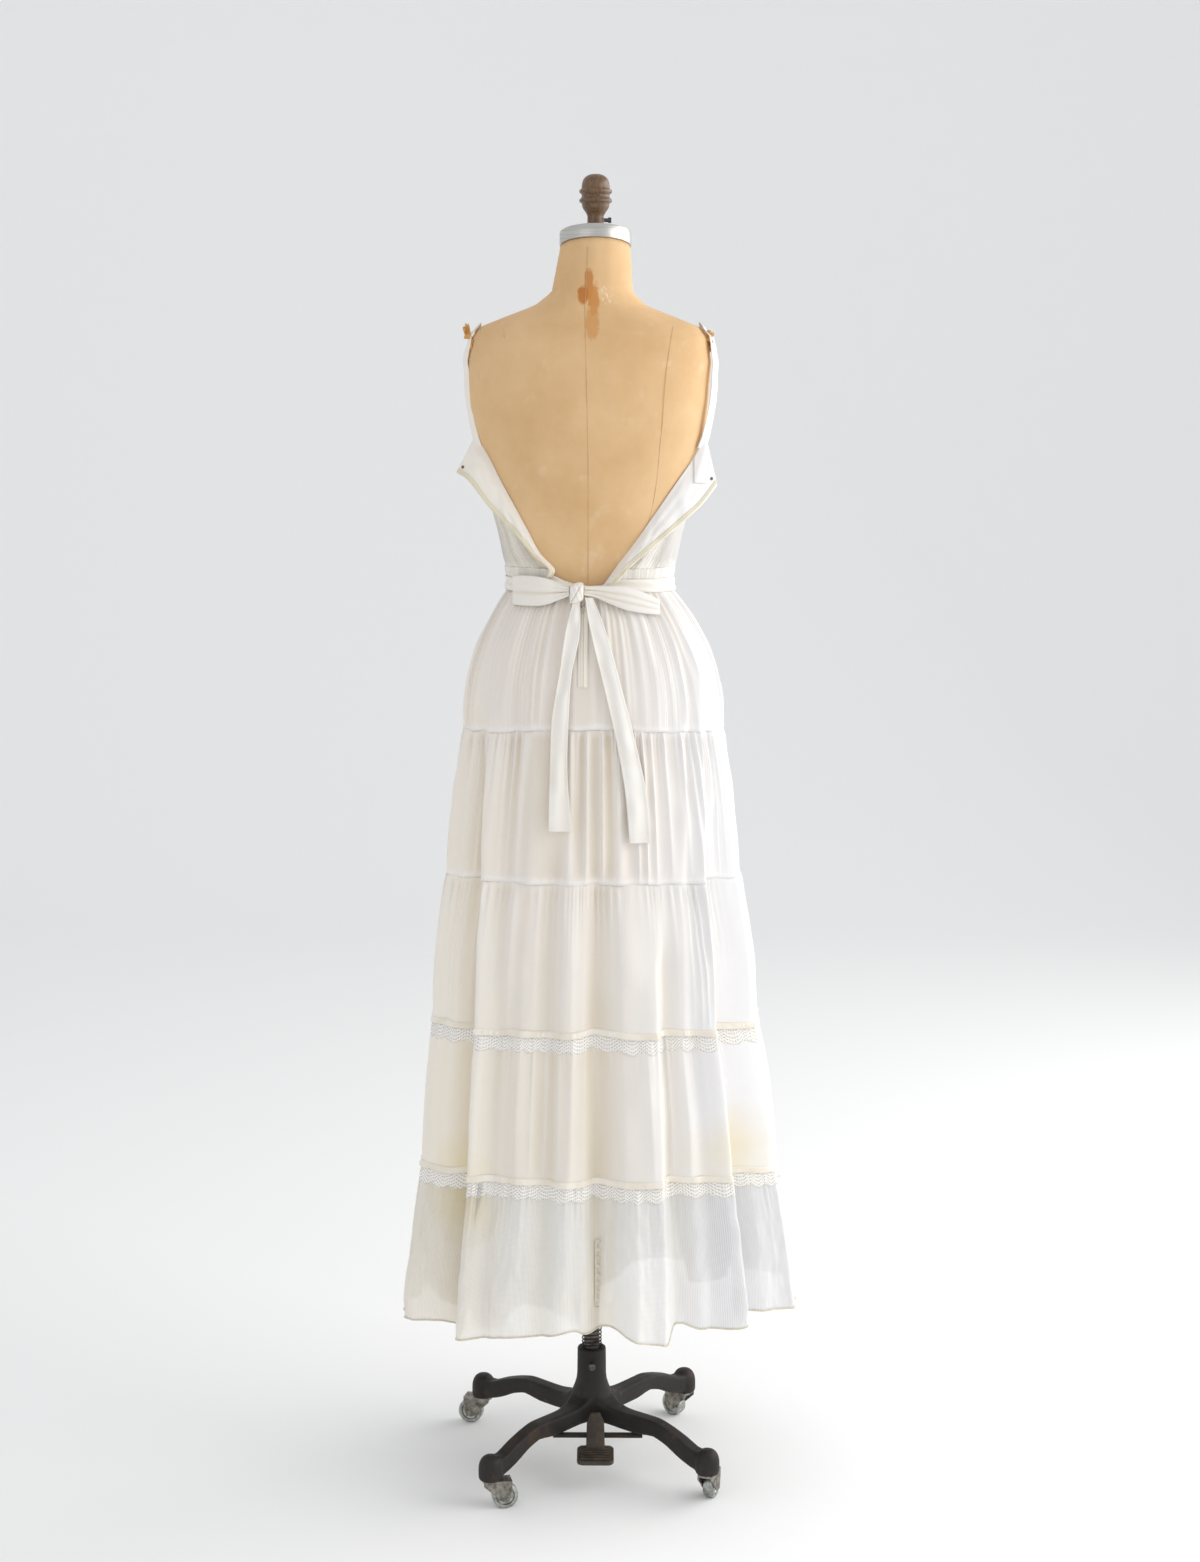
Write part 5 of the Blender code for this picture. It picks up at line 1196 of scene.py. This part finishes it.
def makeWaist():
    def bandPlace(across, down):
        degrees = 2 + 356 * across
        # its upper edge dips to the knot between the two flaps
        top = casingEdge(np.radians(degrees))
        bottom = np.minimum(bodice["bandBottom"] - 0.003, top - 0.006)
        # past the sashes' ends, round the front, the casing comes down to the skirt
        front = np.clip((degrees - 92) / 3, 0, 1) * np.clip((268 - degrees) / 3, 0, 1)
        bottom = bottom + (skirt["top"] + 0.0006 - bottom) * front
        height = top + (bottom - top) * down
        crimp = gathers(across, 0 * down, 190, 44, 3.0)
        out = 0.0056 + 0.0010 * crimp + 0.0010 * np.sin(pi * down) - 0.0012 * front * down
        # the fold value paints shade in the gathers' hollows and highlight on their ridges
        return torsoPoint(np.radians(degrees), height, out), 0.5 * crimp

    piece = clothGrid("waistCasing", 720, 8, bandPlace, (0.70, 0.0155), thickness=0.0008)
    finishPiece(piece, "facing", "form", ["waistband"])
    for side, suffix, end in ((-1, "left", 9), (1, "right", 5)):

        def sashPlace(across, down):
            turn = across if side > 0 else 1 - across
            angle = side * np.radians(end + (96 - end) * turn)
            top = np.minimum(bodice["bandBottom"] + 0.0010, casingEdge(angle) - 0.0012)
            height = top + (bodice["sashBottom"] - 0.0012 - top) * down
            crush = 0.0008 * np.sin(3 * pi * down + 2 * wander(across, 47, 6, False))
            crush = crush + 0.0012 * np.sin(pi * down)
            # the fold value paints shade along the sash's edges and in its crush hollows, and a little
            # highlight on its rolls
            return torsoPoint(angle, height, 0.0076 + crush), 400 * (crush - 0.0012)

        piece = clothGrid("sash" + suffix.title(), 160, 14, sashPlace, (0.19, 0.0165), thickness=0.0011)
        finishPiece(piece, "facing", "form", ["sash_" + suffix])


print("straps and waist")
makeStrapEnd()
makeStraps()
makeWaist()


# Bow

bow = {
    "knot": (-0.0240, -0.0880, 1.2880),
    "knotSize": (0.0195, 0.018, 0.0240),
    "loopLeft": (
        (0.000, 1.2965, 1.2845), (0.012, 1.3010, 1.2790), (0.035, 1.3080, 1.2705),
        (0.055, 1.3100, 1.2690), (0.068, 1.3098, 1.2690), (0.078, 1.3085, 1.2697),
    ),
    "loopRight": (
        (0.000, 1.2965, 1.2850), (0.015, 1.2970, 1.2815), (0.035, 1.2975, 1.2735),
        (0.056, 1.2970, 1.2655), (0.082, 1.2885, 1.2600), (0.104, 1.2780, 1.2575),
    ),
    "loopGap": 0.0030,
    "loopCreases": {"loopLeft": (0.56,), "loopRight": (0.38, 0.68)},
    "tailLeft": (
        (1.2796, -0.0295, -0.0180, 0.0100), (1.2300, -0.0400, -0.0200, 0.0075),
        (1.1800, -0.0470, -0.0300, 0.0070), (1.1200, -0.0570, -0.0340, 0.0065),
        (1.0500, -0.0600, -0.0360, 0.0065), (0.9620, -0.0620, -0.0300, 0.0065),
    ),
    "tailRight": (
        (1.2818, -0.0145, 0.0005, 0.0100), (1.2250, -0.0020, 0.0200, 0.0075),
        (1.1530, 0.0160, 0.0400, 0.0070), (1.0760, 0.0330, 0.0600, 0.0065),
        (1.0200, 0.0430, 0.0720, 0.0065), (0.9460, 0.0500, 0.0790, 0.0065),
    ),
}


def makeBow():
    knotX, knotY, knotZ = bow["knot"]
    deselectAll()
    bpy.ops.mesh.primitive_cube_add(size=1.0)
    knot = bpy.context.object
    knot.name = "bowKnot"
    bpy.ops.object.mode_set(mode="EDIT")
    bpy.ops.mesh.select_all(action="SELECT")
    bpy.ops.mesh.subdivide(number_cuts=22)
    bpy.ops.transform.tosphere(value=0.62)
    bpy.ops.object.mode_set(mode="OBJECT")
    for vertex in knot.data.vertices:
        x, y, z = vertex.co
        waistIn = 1 - 0.14 * (1 - (2 * z) ** 2)
        wrap = 0.060 * abs(sin(9 * x + 4 * z + 1.2)) - 0.035
        crease = 0.13 * np.exp(-((z - 1.1 * x - 0.05) / 0.07) ** 2)
        out = (wrap - crease) * (1 if y < 0 else 0)
        skew = 0.22 * x
        size = bow["knotSize"]
        vertex.co = Vector((x * waistIn * size[0], (y - out) * size[1], (z + skew) * size[2]))
        vertex.co += Vector((knotX, knotY, knotZ)) + Vector(postAxis)
    bpy.ops.object.shade_smooth()
    finishPiece(knot, "facing", "form", ["bow_knot"])
    for side, key, node in ((-1, "loopLeft", "bow_loop_left"), (1, "loopRight", "bow_loop_right")):
        rows = bow[key]
        reaches = [row[0] for row in rows]
        start = knotX + side * (bow["knotSize"][0] / 2 + 0.0003)
        last = reaches[-1]

        def place(across, down):
            # along the outer layer to the tip, round it, and back along the inner one
            along = 1 - np.abs(2 * across - 1)
            x = last * np.sin(pi / 2 * np.clip(along, 0, 1))
            face = np.clip((0.5 - across) / 0.06, -1, 1) * side
            face = np.sin(pi / 2 * face) * side
            top = smooth(x, reaches, [row[1] for row in rows])
            bottom = smooth(x, reaches, [row[2] for row in rows])
            settled = np.clip(x / 0.020, 0, 1)
            spread = (bow["loopGap"] / 2 + 0.0012) * (0.75 + 0.25 * settled)
            flat = start + side * x
            flare = onSkirt(flat, np.minimum(bottom, skirt["top"]), 0.0062)[..., 1]
            lying = np.minimum(backDepth(flat, knotZ, 0.0130), flare)
            back = knotY + (lying - knotY) * settled
            crease = 0.0
            for line in bow["loopCreases"][key]:
                crease = crease - 0.0024 * np.exp(-((down - line) / 0.07) ** 2) * (1 - 0.35 * x / last)
            pleat = 0.0012 * np.cos(9 * pi * down + 2 * x / last) * np.exp(-x / 0.022)
            swell = 0.0030 * np.sin(pi * down) * np.sin(pi * np.clip(0.08 + 0.86 * x / last, 0, 1))
            y = back - (spread + crease + pleat + swell) * face
            # the fold value paints shade in the loop's creases and highlight on its pleats
            return np.stack([flat, y, top + (bottom - top) * down], axis=-1), 260 * (crease + pleat)

        piece = clothGrid(key, 160, 28, place, (2 * last, 0.035), thickness=0.0008)
        faceOut(piece)
        finishPiece(piece, "facing", "form", [node])
    for key, node in (("tailLeft", "bow_tail_left"), ("tailRight", "bow_tail_right")):
        rows = bow[key]
        fall = [-row[0] for row in rows]

        def place(across, down):
            height = rows[0][0] + (rows[-1][0] - rows[0][0]) * down
            left = smooth(-height, fall, [row[1] for row in rows])
            right = smooth(-height, fall, [row[2] for row in rows])
            out = smooth(-height, fall, [row[3] for row in rows])
            # narrow into the knot, and wider below it
            pinch = 1 - 0.25 * np.exp(-(down / 0.05) ** 2)
            x = (left + right) / 2 + (right - left) * (across - 0.5) * pinch
            ripple = 0.0011 * np.cos(2 * pi * across + 5 * down) * np.clip(down * 4, 0, 1)
            fold = 0.0014 * patches(across, down, 52 + len(key), 2, 14)
            edge = 0.0005 * ((across < 0.09) | (across > 0.91) | (down > 0.972))
            # the fold value paints shade and highlight on the tail's ripples and folds; the added 0.3 makes
            # the tails a little whiter all over
            return onSkirt(x, height, out + 0.0020 + ripple + fold + edge), 200 * (ripple + fold) + 0.3

        piece = clothGrid(key, 24, 200, place, (0.030, 0.33), thickness=0.0009)
        finishPiece(piece, "facing", "form", [node])


print("bow")
makeBow()


# Zip

closing = {
    "x": -0.0150,
    "top": 1.2715,
    "end": 1.1600,
    "width": 0.0130,
    "out": 0.0026,
}


def makeZip():
    def place(across, down):
        height = closing["top"] + (closing["end"] - closing["top"]) * down
        x = closing["x"] + (across - 0.5) * closing["width"]
        slit = -0.0012 * np.exp(-((across - 0.5) / 0.05) ** 2)
        lips = 0.0008 * np.exp(-((np.abs(across - 0.5) - 0.14) / 0.08) ** 2)
        return onSkirt(x, height, closing["out"] + slit + lips)

    piece = clothGrid("zipClosed", 30, 90, place, (0.013, 0.11), thickness=0.0005)
    finishPiece(piece, "closedTape", "form", ["zip_closed"])


makeZip()


# Picot strip at the back of the last tier

picot = {
    "x": 0.0050,
    "width": 0.0022,
    "square": 0.0045,
    "reach": 0.0036,
    "pitch": 0.0120,
    "top": 0.3850,
    "count": 8,
    "out": 0.0036,
}


def makePicots():
    def place(across, down):
        height = picot["top"] - picot["pitch"] * picot["count"] * down
        step = (picot["count"] * down) % 1.0
        wide = picot["width"] + picot["reach"] * (step < picot["square"] / picot["pitch"])
        x = picot["x"] + wide * across
        return onSkirt(x, height, picot["out"] + 0.0006)

    piece = clothGrid("picotStrip", 8, 192, place, (0.008, 0.096), thickness=0.0010)
    return finishPiece(piece, "hem", "form", ["picot_strip"])


picotPiece = makePicots()
print("zip and picots")


# Dress form

formSeams = {
    "back": {"x": (-0.0085, -0.0085, -0.0125, -0.0155), "z": (1.30, 1.45, 1.62, 1.745)},
    "princessLeft": {"x": (-0.107, -0.114, -0.119, -0.122, -0.124), "z": (1.53, 1.56, 1.59, 1.62, 1.645)},
    "princessRight": {"x": (0.052, 0.078, 0.090, 0.098, 0.106), "z": (1.32, 1.40, 1.50, 1.60, 1.650)},
    "width": 0.0006,
}


def makeForm():
    def place(across, down):
        low, high = torso["rows"][0][0], torso["rows"][-1][0]
        height = high + (low - high) * down
        out = 0.0003 * patches(across, down, 81, 30, 40)
        points = torsoPoint(2 * pi * across, height, out)
        # a touch broader at the left shoulder blade
        share = np.exp(-((height - 1.54) / 0.075) ** 2) * np.clip(-np.sin(2 * pi * across), 0, 1)
        points[:, 0] -= 0.0060 * share
        share = np.exp(-((height - 1.56) / 0.06) ** 2) * np.clip(np.sin(2 * pi * across), 0, 1)
        points[:, 0] -= 0.0035 * share
        return points

    piece = clothGrid("formShell", 130, 150, place, (1.0, 0.9), closed=True, thickness=torso["wall"])
    finishPiece(piece, "form", "form", ["torso_form"])
    for name in ("back", "princessLeft", "princessRight"):
        line = formSeams[name]

        def seamPlace(across, down):
            height = line["z"][0] + (line["z"][-1] - line["z"][0]) * (1 - down)
            x = smooth(height, line["z"], line["x"]) + (across - 0.5) * formSeams["width"]
            return torsoPoint(backAngle(x, height), height, 0.0003)

        strip = clothGrid("formSeam" + name.title(), 2, 90, seamPlace, (0.001, 0.4), thickness=0.0003)
        finishPiece(strip, "seam", "form")


makeForm()
print("form")


# Worn covering, torn loose at the ends of the shoulders

scraps = {
    "Left": {"place": (-0.1735, -0.020, 1.6310), "wide": 0.0130, "tall": 0.022, "lean": -0.22, "seed": 3},
    "LeftInner": {"place": (-0.1690, -0.026, 1.6160), "wide": 0.008, "tall": 0.014, "lean": 0.20, "seed": 8},
    "Right": {"place": (0.1530, -0.020, 1.6270), "wide": 0.0160, "tall": 0.018, "lean": 0.35, "seed": 5},
    "RightInner": {"place": (0.1600, -0.014, 1.6150), "wide": 0.010, "tall": 0.015, "lean": -0.20,
                   "seed": 11},
}


def makeScraps():
    for name, scrap in scraps.items():
        def place(across, down):
            ragged = 0.20 * wander(across, scrap["seed"], 4, False)
            ragged = ragged + 0.08 * wander(across, scrap["seed"] + 1, 9, False)
            narrow = 1 - 0.45 * (1 - down) + 0.20 * wander(down, scrap["seed"] + 2, 6, False)
            z = (1 - down) * scrap["tall"] * (0.85 + ragged)
            x = (across - 0.5) * scrap["wide"] * narrow + scrap["lean"] * z
            y = 0.0035 * patches(across, down, scrap["seed"] + 4, 3, 4) - 0.10 * z
            return np.stack([x, y, z], axis=-1) + np.array(scrap["place"])

        piece = clothGrid("tornCover" + name, 22, 26, place, (scrap["wide"], scrap["tall"]),
                          thickness=0.0006)
        finishPiece(piece, "torn", "form")


makeScraps()


# Neck ring and finial

def turned(name, profile, segments, turn=None):
    # a lathe profile, spun about the pole
    points = [(radius, 0.0, height) for radius, height in profile]
    piece = meshFrom(name, points, [(place, place + 1) for place in range(len(points) - 1)], [])
    editWhole(piece)
    bpy.ops.mesh.spin(steps=segments, angle=2 * pi, center=(0, 0, 0), axis=(0, 0, 1))
    bpy.ops.mesh.remove_doubles(threshold=0.00001)
    bpy.ops.mesh.normals_make_consistent(inside=False)
    leaveEdit()
    if turn is not None:
        piece.data.transform(turn)
    piece.data.transform(Matrix.Translation(Vector(postAxis)))
    bpy.ops.object.shade_smooth_by_angle(angle=radians(40))
    return piece


neckRing = {
    "radius": 0.0493,
    "height": 0.0190,
    "centre": 1.7661,
    "bevel": 0.0014,
}

finialShape = {
    "profile": (
        (0.0, 1.7789), (0.0113, 1.7789), (0.0113, 1.7975), (0.0118, 1.7992), (0.0140, 1.8030), (0.0172,
                                                                                                1.8075),
        (0.0184, 1.8105), (0.0190, 1.8140), (0.0196, 1.8152), (0.0212, 1.8160), (0.0224, 1.8172), (0.0226,
                                                                                                   1.8184),
        (0.0221, 1.8202), (0.0203, 1.8218), (0.0193, 1.8236), (0.0190, 1.8252), (0.0193, 1.8268), (0.0206,
                                                                                                   1.8279),
        (0.0221, 1.8292), (0.0226, 1.8310), (0.0221, 1.8328), (0.0203, 1.8340), (0.0194, 1.8352), (0.0192,
                                                                                                   1.8385),
        (0.0186, 1.8425), (0.0171, 1.8468), (0.0145, 1.8502), (0.0106, 1.8528), (0.0060, 1.8542), (0.0,
                                                                                                   1.8546),
    ),
    "segments": 64,
}


def makeCap():
    half = neckRing["height"] / 2
    radius = neckRing["radius"]
    bevel = neckRing["bevel"]
    middle = half + 0.0003
    profile = [
        (0.0, -half), (radius - bevel, -half), (radius - 0.3 * bevel, -half + 0.3 * bevel), (radius,
                                                                                             -half + bevel),
        (radius, half - bevel), (radius - 0.3 * bevel, half - 0.3 * bevel), (radius - bevel, half),
        (radius - 0.004, half), (radius - 0.006, middle), (0.0, middle),
    ]
    lean = Matrix.Rotation(-neckLean, 4, "X")
    ring = turned("neckRing", profile, 96, Matrix.Translation((0, 0, neckRing["centre"])) @ lean)
    finishPiece(ring, "aluminium", "form", ["neck_ring"])
    knob = turned("turnedFinial", finialShape["profile"], finialShape["segments"])
    finishPiece(knob, "wood", "form", ["finial"])


makeCap()


# Stand casting: hub, four legs and their caps in one iron casting

casting = {
    "hub": ((0.0116, 0.1762), (0.0200, 0.1762), (0.0208, 0.1752), (0.0212, 0.1370), (0.0222, 0.1280),
            (0.0246, 0.1200),
            (0.0276, 0.1120), (0.0298, 0.1020), (0.0305, 0.0900), (0.0292, 0.0800), (0.0240, 0.0745),
            (0.0116, 0.0740)),
    "legColumns": ("reach", "middle", "halfHeight", "halfWidth"),
    "legRows": (
        (0.016, 0.0920, 0.0190, 0.0200), (0.040, 0.0850, 0.0140, 0.0155), (0.064, 0.0826, 0.0130, 0.0128),
        (0.095, 0.0829, 0.0134, 0.0116), (0.125, 0.0850, 0.0114, 0.0112), (0.148, 0.0790, 0.0122, 0.0110),
        (0.172, 0.0690, 0.0142, 0.0110), (0.195, 0.0600, 0.0132, 0.0112), (0.2145, 0.0580, 0.0118, 0.0118),
    ),
    "turns": (-130.6, -40.6, 139.4, 49.4),  # degrees: front left, front right, back left, back right
    "casterReach": 0.2173,
    "cap": ((0.0, 0.0425), (0.0150, 0.0425), (0.0168, 0.0445), (0.0174, 0.0480), (0.0174, 0.0600), (0.0168,
                                                                                                    0.0650),
            (0.0152, 0.0700), (0.0126, 0.0742), (0.0086, 0.0772), (0.0040, 0.0784), (0.0, 0.0785)),
    "voxel": 0.0016,
}


def makeLeg(number, turn):
    rows = casting["legRows"]
    around = 20
    points = []
    for reach, middle, halfHeight, halfWidth in rows:
        for place in range(around):
            angle = 2 * pi * place / around
            y = abs(cos(angle)) ** 0.30 * (1 if cos(angle) > 0 else -1) * halfWidth
            z = abs(sin(angle)) ** 0.30 * (1 if sin(angle) > 0 else -1) * halfHeight
            points.append((reach, y, middle + z))
    faces = []
    for row in range(len(rows) - 1):
        for place in range(around):
            after = (place + 1) % around
            low = row * around
            faces.append((low + place, low + after, low + around + after, low + around + place))
    faces.append(tuple(range(around))[::-1])
    faces.append(tuple(range((len(rows) - 1) * around, len(rows) * around)))
    leg = meshFrom("castLeg" + str(number), points, [], faces)
    leg.data.transform(Matrix.Translation(Vector(postAxis)) @ Matrix.Rotation(radians(turn), 4, "Z"))
    editWhole(leg)
    bpy.ops.mesh.subdivide(number_cuts=2, smoothness=0.6)
    bpy.ops.mesh.normals_make_consistent(inside=False)
    leaveEdit()
    return leg


def makeCasting():
    parts = [turned("standCasting", casting["hub"] + (casting["hub"][0],), 56)]
    for number, turn in enumerate(casting["turns"]):
        parts.append(makeLeg(number, turn))
        away = (casting["casterReach"] * cos(radians(turn)), casting["casterReach"] * sin(radians(turn)), 0)
        parts.append(turned("castCap" + str(number), casting["cap"], 32, Matrix.Translation(away)))
    whole = joinParts(parts)
    remesh = whole.modifiers.new("cast", "REMESH")
    remesh.mode = "VOXEL"
    remesh.voxel_size = casting["voxel"]
    soften = whole.modifiers.new("fillets", "SMOOTH")
    soften.factor = 0.5
    soften.iterations = 2
    fewer = whole.modifiers.new("fewer", "DECIMATE")
    fewer.ratio = 0.45
    applyAll(whole)
    bpy.ops.object.shade_smooth()
    finishPiece(whole, "iron", "base", ["stand_casting"])


makeCasting()


# Spring round the pole, on top of the hub

springShape = {
    "radius": 0.0138,
    "wire": 0.00095,
    "bottom": 0.1780,
    "top": 0.2102,
    "turns": 6,
    "stretch": 1.15,
}


def makeSpring():
    share = np.linspace(0, 1, 40 * springShape["turns"] + 1)
    angle = 2 * pi * springShape["turns"] * share
    tall = springShape["top"] - springShape["bottom"]
    rise = springShape["bottom"] + tall * share ** springShape["stretch"]
    radius = springShape["radius"]
    line = np.stack([radius * np.cos(angle), radius * np.sin(angle), rise], axis=-1) + postAxis
    coil = tubeAlong("coilSpring", line, springShape["wire"], 3)
    finishPiece(coil, "spring", "base", ["spring"])


makeSpring()


# Pedal: a ribbed plate on a tapered arm, cast in one

pedalShape = {
    "x": 0.0060,
    "plate": {"size": (0.053, 0.060, 0.0062), "y": -0.092, "z": 0.0470, "bevel": 0.0018, "corner": 0.010},
    "ribs": {"count": 6, "size": (0.043, 0.0040, 0.0036), "pitch": 0.0086},
    "arm": ((-0.070, 0.0450), (-0.056, 0.0560), (-0.0460, 0.0820), (-0.0440, 0.0930), (-0.0490, 0.0940),
            (-0.0560, 0.0830),
            (-0.068, 0.0640), (-0.077, 0.0500)),
    # height and half width of the arm, which swells where it turns on the brace
    "armWidths": ((0.0450, 0.0140), (0.0600, 0.0125), (0.0740, 0.0150), (0.0840, 0.0105), (0.0940, 0.0062)),
}


def box(name, size, place, bevel):
    deselectAll()
    bpy.ops.mesh.primitive_cube_add(size=1.0)
    piece = bpy.context.object
    piece.name = name
    editWhole(piece)
    bpy.ops.transform.resize(value=size, center_override=(0, 0, 0))
    bpy.ops.transform.translate(value=Vector(place) + Vector(postAxis))
    if bevel:
        bpy.ops.mesh.bevel(offset=bevel, segments=3)
    leaveEdit()
    return piece


def makePedal():
    plate = pedalShape["plate"]
    slab = box("castPedal", plate["size"], (pedalShape["x"], plate["y"], plate["z"]), 0.0)
    heights = [[slab.data.vertices[end].co.z for end in edge.vertices] for edge in slab.data.edges]
    upright = [max(ends) - min(ends) > plate["size"][2] / 2 for ends in heights]
    bpy.ops.object.mode_set(mode="EDIT")
    bpy.ops.mesh.select_mode(type="EDGE")
    bpy.ops.mesh.select_all(action="DESELECT")
    bpy.ops.object.mode_set(mode="OBJECT")
    for edge, stands in zip(slab.data.edges, upright):
        edge.select = stands
    bpy.ops.object.mode_set(mode="EDIT")
    bpy.ops.mesh.bevel(offset=plate["corner"], segments=6)
    bpy.ops.mesh.select_mode(type="VERT")
    bpy.ops.object.mode_set(mode="OBJECT")
    rim = slab.modifiers.new("rim", "BEVEL")
    rim.width = plate["bevel"]
    rim.segments = 3
    rim.limit_method = "ANGLE"
    rim.angle_limit = radians(40)
    applyAll(slab)
    parts = [slab]
    ribs = pedalShape["ribs"]
    for number in range(ribs["count"]):
        y = plate["y"] + (number - (ribs["count"] - 1) / 2) * ribs["pitch"]
        z = plate["z"] + plate["size"][2] / 2 + 0.0008
        parts.append(box("pedalRib" + str(number), ribs["size"], (pedalShape["x"], y, z), 0.0012))
    profile = pedalShape["arm"]
    points = []
    for side in (-1, 1):
        for y, z in profile:
            half = np.interp(z, *zip(*pedalShape["armWidths"]))
            points.append((pedalShape["x"] + side * half + postAxis[0], y + postAxis[1], z))
    count = len(profile)
    faces = [tuple(range(count)), tuple(range(count, 2 * count))[::-1]]
    faces += [(k, k + count, (k + 1) % count + count, (k + 1) % count) for k in range(count)]
    arm = meshFrom("pedalArm", points, [], faces)
    editWhole(arm)
    bpy.ops.mesh.normals_make_consistent(inside=False)
    bpy.ops.mesh.bevel(offset=0.0016, segments=3)
    leaveEdit()
    whole = joinParts(parts + [arm])
    bpy.ops.object.shade_smooth_by_angle(angle=radians(40))
    finishPiece(whole, "treadIron", "pedal", ["pedal"])


makePedal()


# Wheels, one shape copied to the four casters

wheelShape = {
    # radius and distance from the middle plane: rounded tread, rim, web, and boss round the axle
    "profile": (
        (0.0, -0.0078), (0.0038, -0.0078), (0.0044, -0.0073), (0.0046, -0.0052), (0.0072, -0.0046), (0.0118,
                                                                                                     -0.0046),
        (0.0128, -0.0054), (0.0132, -0.0070), (0.0144, -0.0075), (0.0170, -0.0074), (0.0180, -0.0066),
        (0.0185, -0.0050),
        (0.0185, 0.0050), (0.0180, 0.0066), (0.0170, 0.0074), (0.0144, 0.0075), (0.0132, 0.0070), (0.0128,
                                                                                                   0.0054),
        (0.0118, 0.0046), (0.0072, 0.0046), (0.0046, 0.0052), (0.0044, 0.0073), (0.0038, 0.0078), (0.0,
                                                                                                   0.0078),
    ),
    "segments": 48,
}
corners = ("front_left", "front_right", "back_left", "back_right")


def makeWheels():
    pattern = turned("wheelPattern", wheelShape["profile"], wheelShape["segments"])
    pattern.data.transform(Matrix.Translation(-Vector(postAxis)))
    for corner in corners:
        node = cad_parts["wheel_" + corner]
        spots = np.empty(len(node.data.vertices) * 3)
        node.data.vertices.foreach_get("co", spots)
        matrix = np.array(node.matrix_world)
        spots = spots.reshape(-1, 3) @ matrix[:3, :3].T + matrix[:3, 3]
        low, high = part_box("wheel_" + corner)
        middle = (Vector(low) + Vector(high)) / 2
        # the axle lies along the direction in which the solid is thinnest
        spread, ways = np.linalg.eigh(np.cov((spots - spots.mean(axis=0)).T))
        axle = Vector(ways[:, 0])
        wheel = pattern.copy()
        wheel.data = pattern.data.copy()
        wheel.name = "casterWheel" + corner.title().replace("_", "")
        bpy.context.scene.collection.objects.link(wheel)
        turn = axle.to_track_quat("Z", "Y").to_matrix().to_4x4()
        wheel.data.transform(Matrix.Translation(middle) @ turn)
        finishPiece(wheel, "wheel", "wheel_" + corner, ["wheel_" + corner])
    bpy.data.objects.remove(pattern)


makeWheels()
print("stand")


# Carried-over parts get their finish

carried = {
    "zip_slider": "slider", "zip_pull_tab": "slider", "hook_left": "nickel", "hook_right": "nickel",
    "thumb_screw": "steel", "set_screw": "steel", "post": "steel", "pole": "steel",
    "brace": "iron", "bottom_board": "board",
}
for corner in corners:
    carried["fork_" + corner] = "fork"
for node, material in carried.items():
    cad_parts[node].data.materials.clear()
    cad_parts[node].data.materials.append(materials[material])


# Floor and light

room = {
    "wide": 14.0,
    "near": -8.0,
    "far": 6.2,  # the wall stands behind a camera that looks from the front of the dress
    "tall": 7.0,
    "curve": 2.5,
}


def makeRoom():
    deselectAll()
    bpy.ops.mesh.primitive_plane_add(size=1.0)
    floor = bpy.context.object
    floor.name = "paleFloor"
    for vertex in floor.data.vertices:
        y = room["near"] if vertex.co.y < 0 else room["far"]
        vertex.co = Vector((vertex.co.x * room["wide"], y, 0.0))
    bpy.ops.object.mode_set(mode="EDIT")
    bpy.ops.mesh.select_mode(type="EDGE")
    bpy.ops.mesh.select_all(action="DESELECT")
    bpy.ops.object.mode_set(mode="OBJECT")
    for edge in floor.data.edges:
        ends = [floor.data.vertices[place].co.y for place in edge.vertices]
        edge.select = min(ends) > room["far"] - 0.01
    bpy.ops.object.mode_set(mode="EDIT")
    bpy.ops.mesh.extrude_region_move(TRANSFORM_OT_translate={"value": (0, 0, room["tall"])})
    bpy.ops.mesh.select_all(action="DESELECT")
    bpy.ops.object.mode_set(mode="OBJECT")
    for edge in floor.data.edges:
        ends = [floor.data.vertices[place].co for place in edge.vertices]
        edge.select = all(end.y > room["far"] - 0.01 and end.z < 0.01 for end in ends)
    bpy.ops.object.mode_set(mode="EDIT")
    bpy.ops.mesh.bevel(offset=room["curve"], segments=24)
    bpy.ops.object.mode_set(mode="OBJECT")
    bpy.ops.object.shade_smooth()
    paper, tree, shader = newMaterial("palePaper")
    setInputs(tree, shader, {"Base Color": linear("#F7F7F6"), "Roughness": 0.9, "Specular IOR Level": 0.1})
    floor.data.materials.append(paper)


lights = {
    "window": {"place": (2.9, -0.9, 2.0), "size": (2.2, 2.6), "power": 48.0, "hue": "#FFFEFC"},
    "behind": {"place": (2.7, 1.2, 2.0), "size": (2.2, 2.6), "power": 42.0, "hue": "#FFFEFC"},
    "front": {"place": (-2.4, -3.8, 2.6), "size": (3.0, 3.0), "power": 11.0, "hue": "#F6F9FF"},
}


def makeLights():
    for name, light in lights.items():
        data = bpy.data.lights.new(name, "AREA")
        data.shape = "RECTANGLE"
        data.size, data.size_y = light["size"]
        data.energy = light["power"]
        data.color = linear(light["hue"])[:3]
        lamp = bpy.data.objects.new(name, data)
        bpy.context.scene.collection.objects.link(lamp)
        lamp.location = light["place"]
        aim = Vector((0, 0, 1.0)) - Vector(light["place"])
        lamp.rotation_euler = aim.to_track_quat("-Z", "Y").to_euler()
    world = bpy.data.worlds.new("softWhite")
    world.use_nodes = True
    world.node_tree.nodes["Background"].inputs["Color"].default_value = linear("#FBFCFF")
    world.node_tree.nodes["Background"].inputs["Strength"].default_value = 0.76
    bpy.context.scene.world = world
    bpy.context.scene.view_settings.view_transform = "Standard"


makeRoom()
makeLights()
print("room and lights")
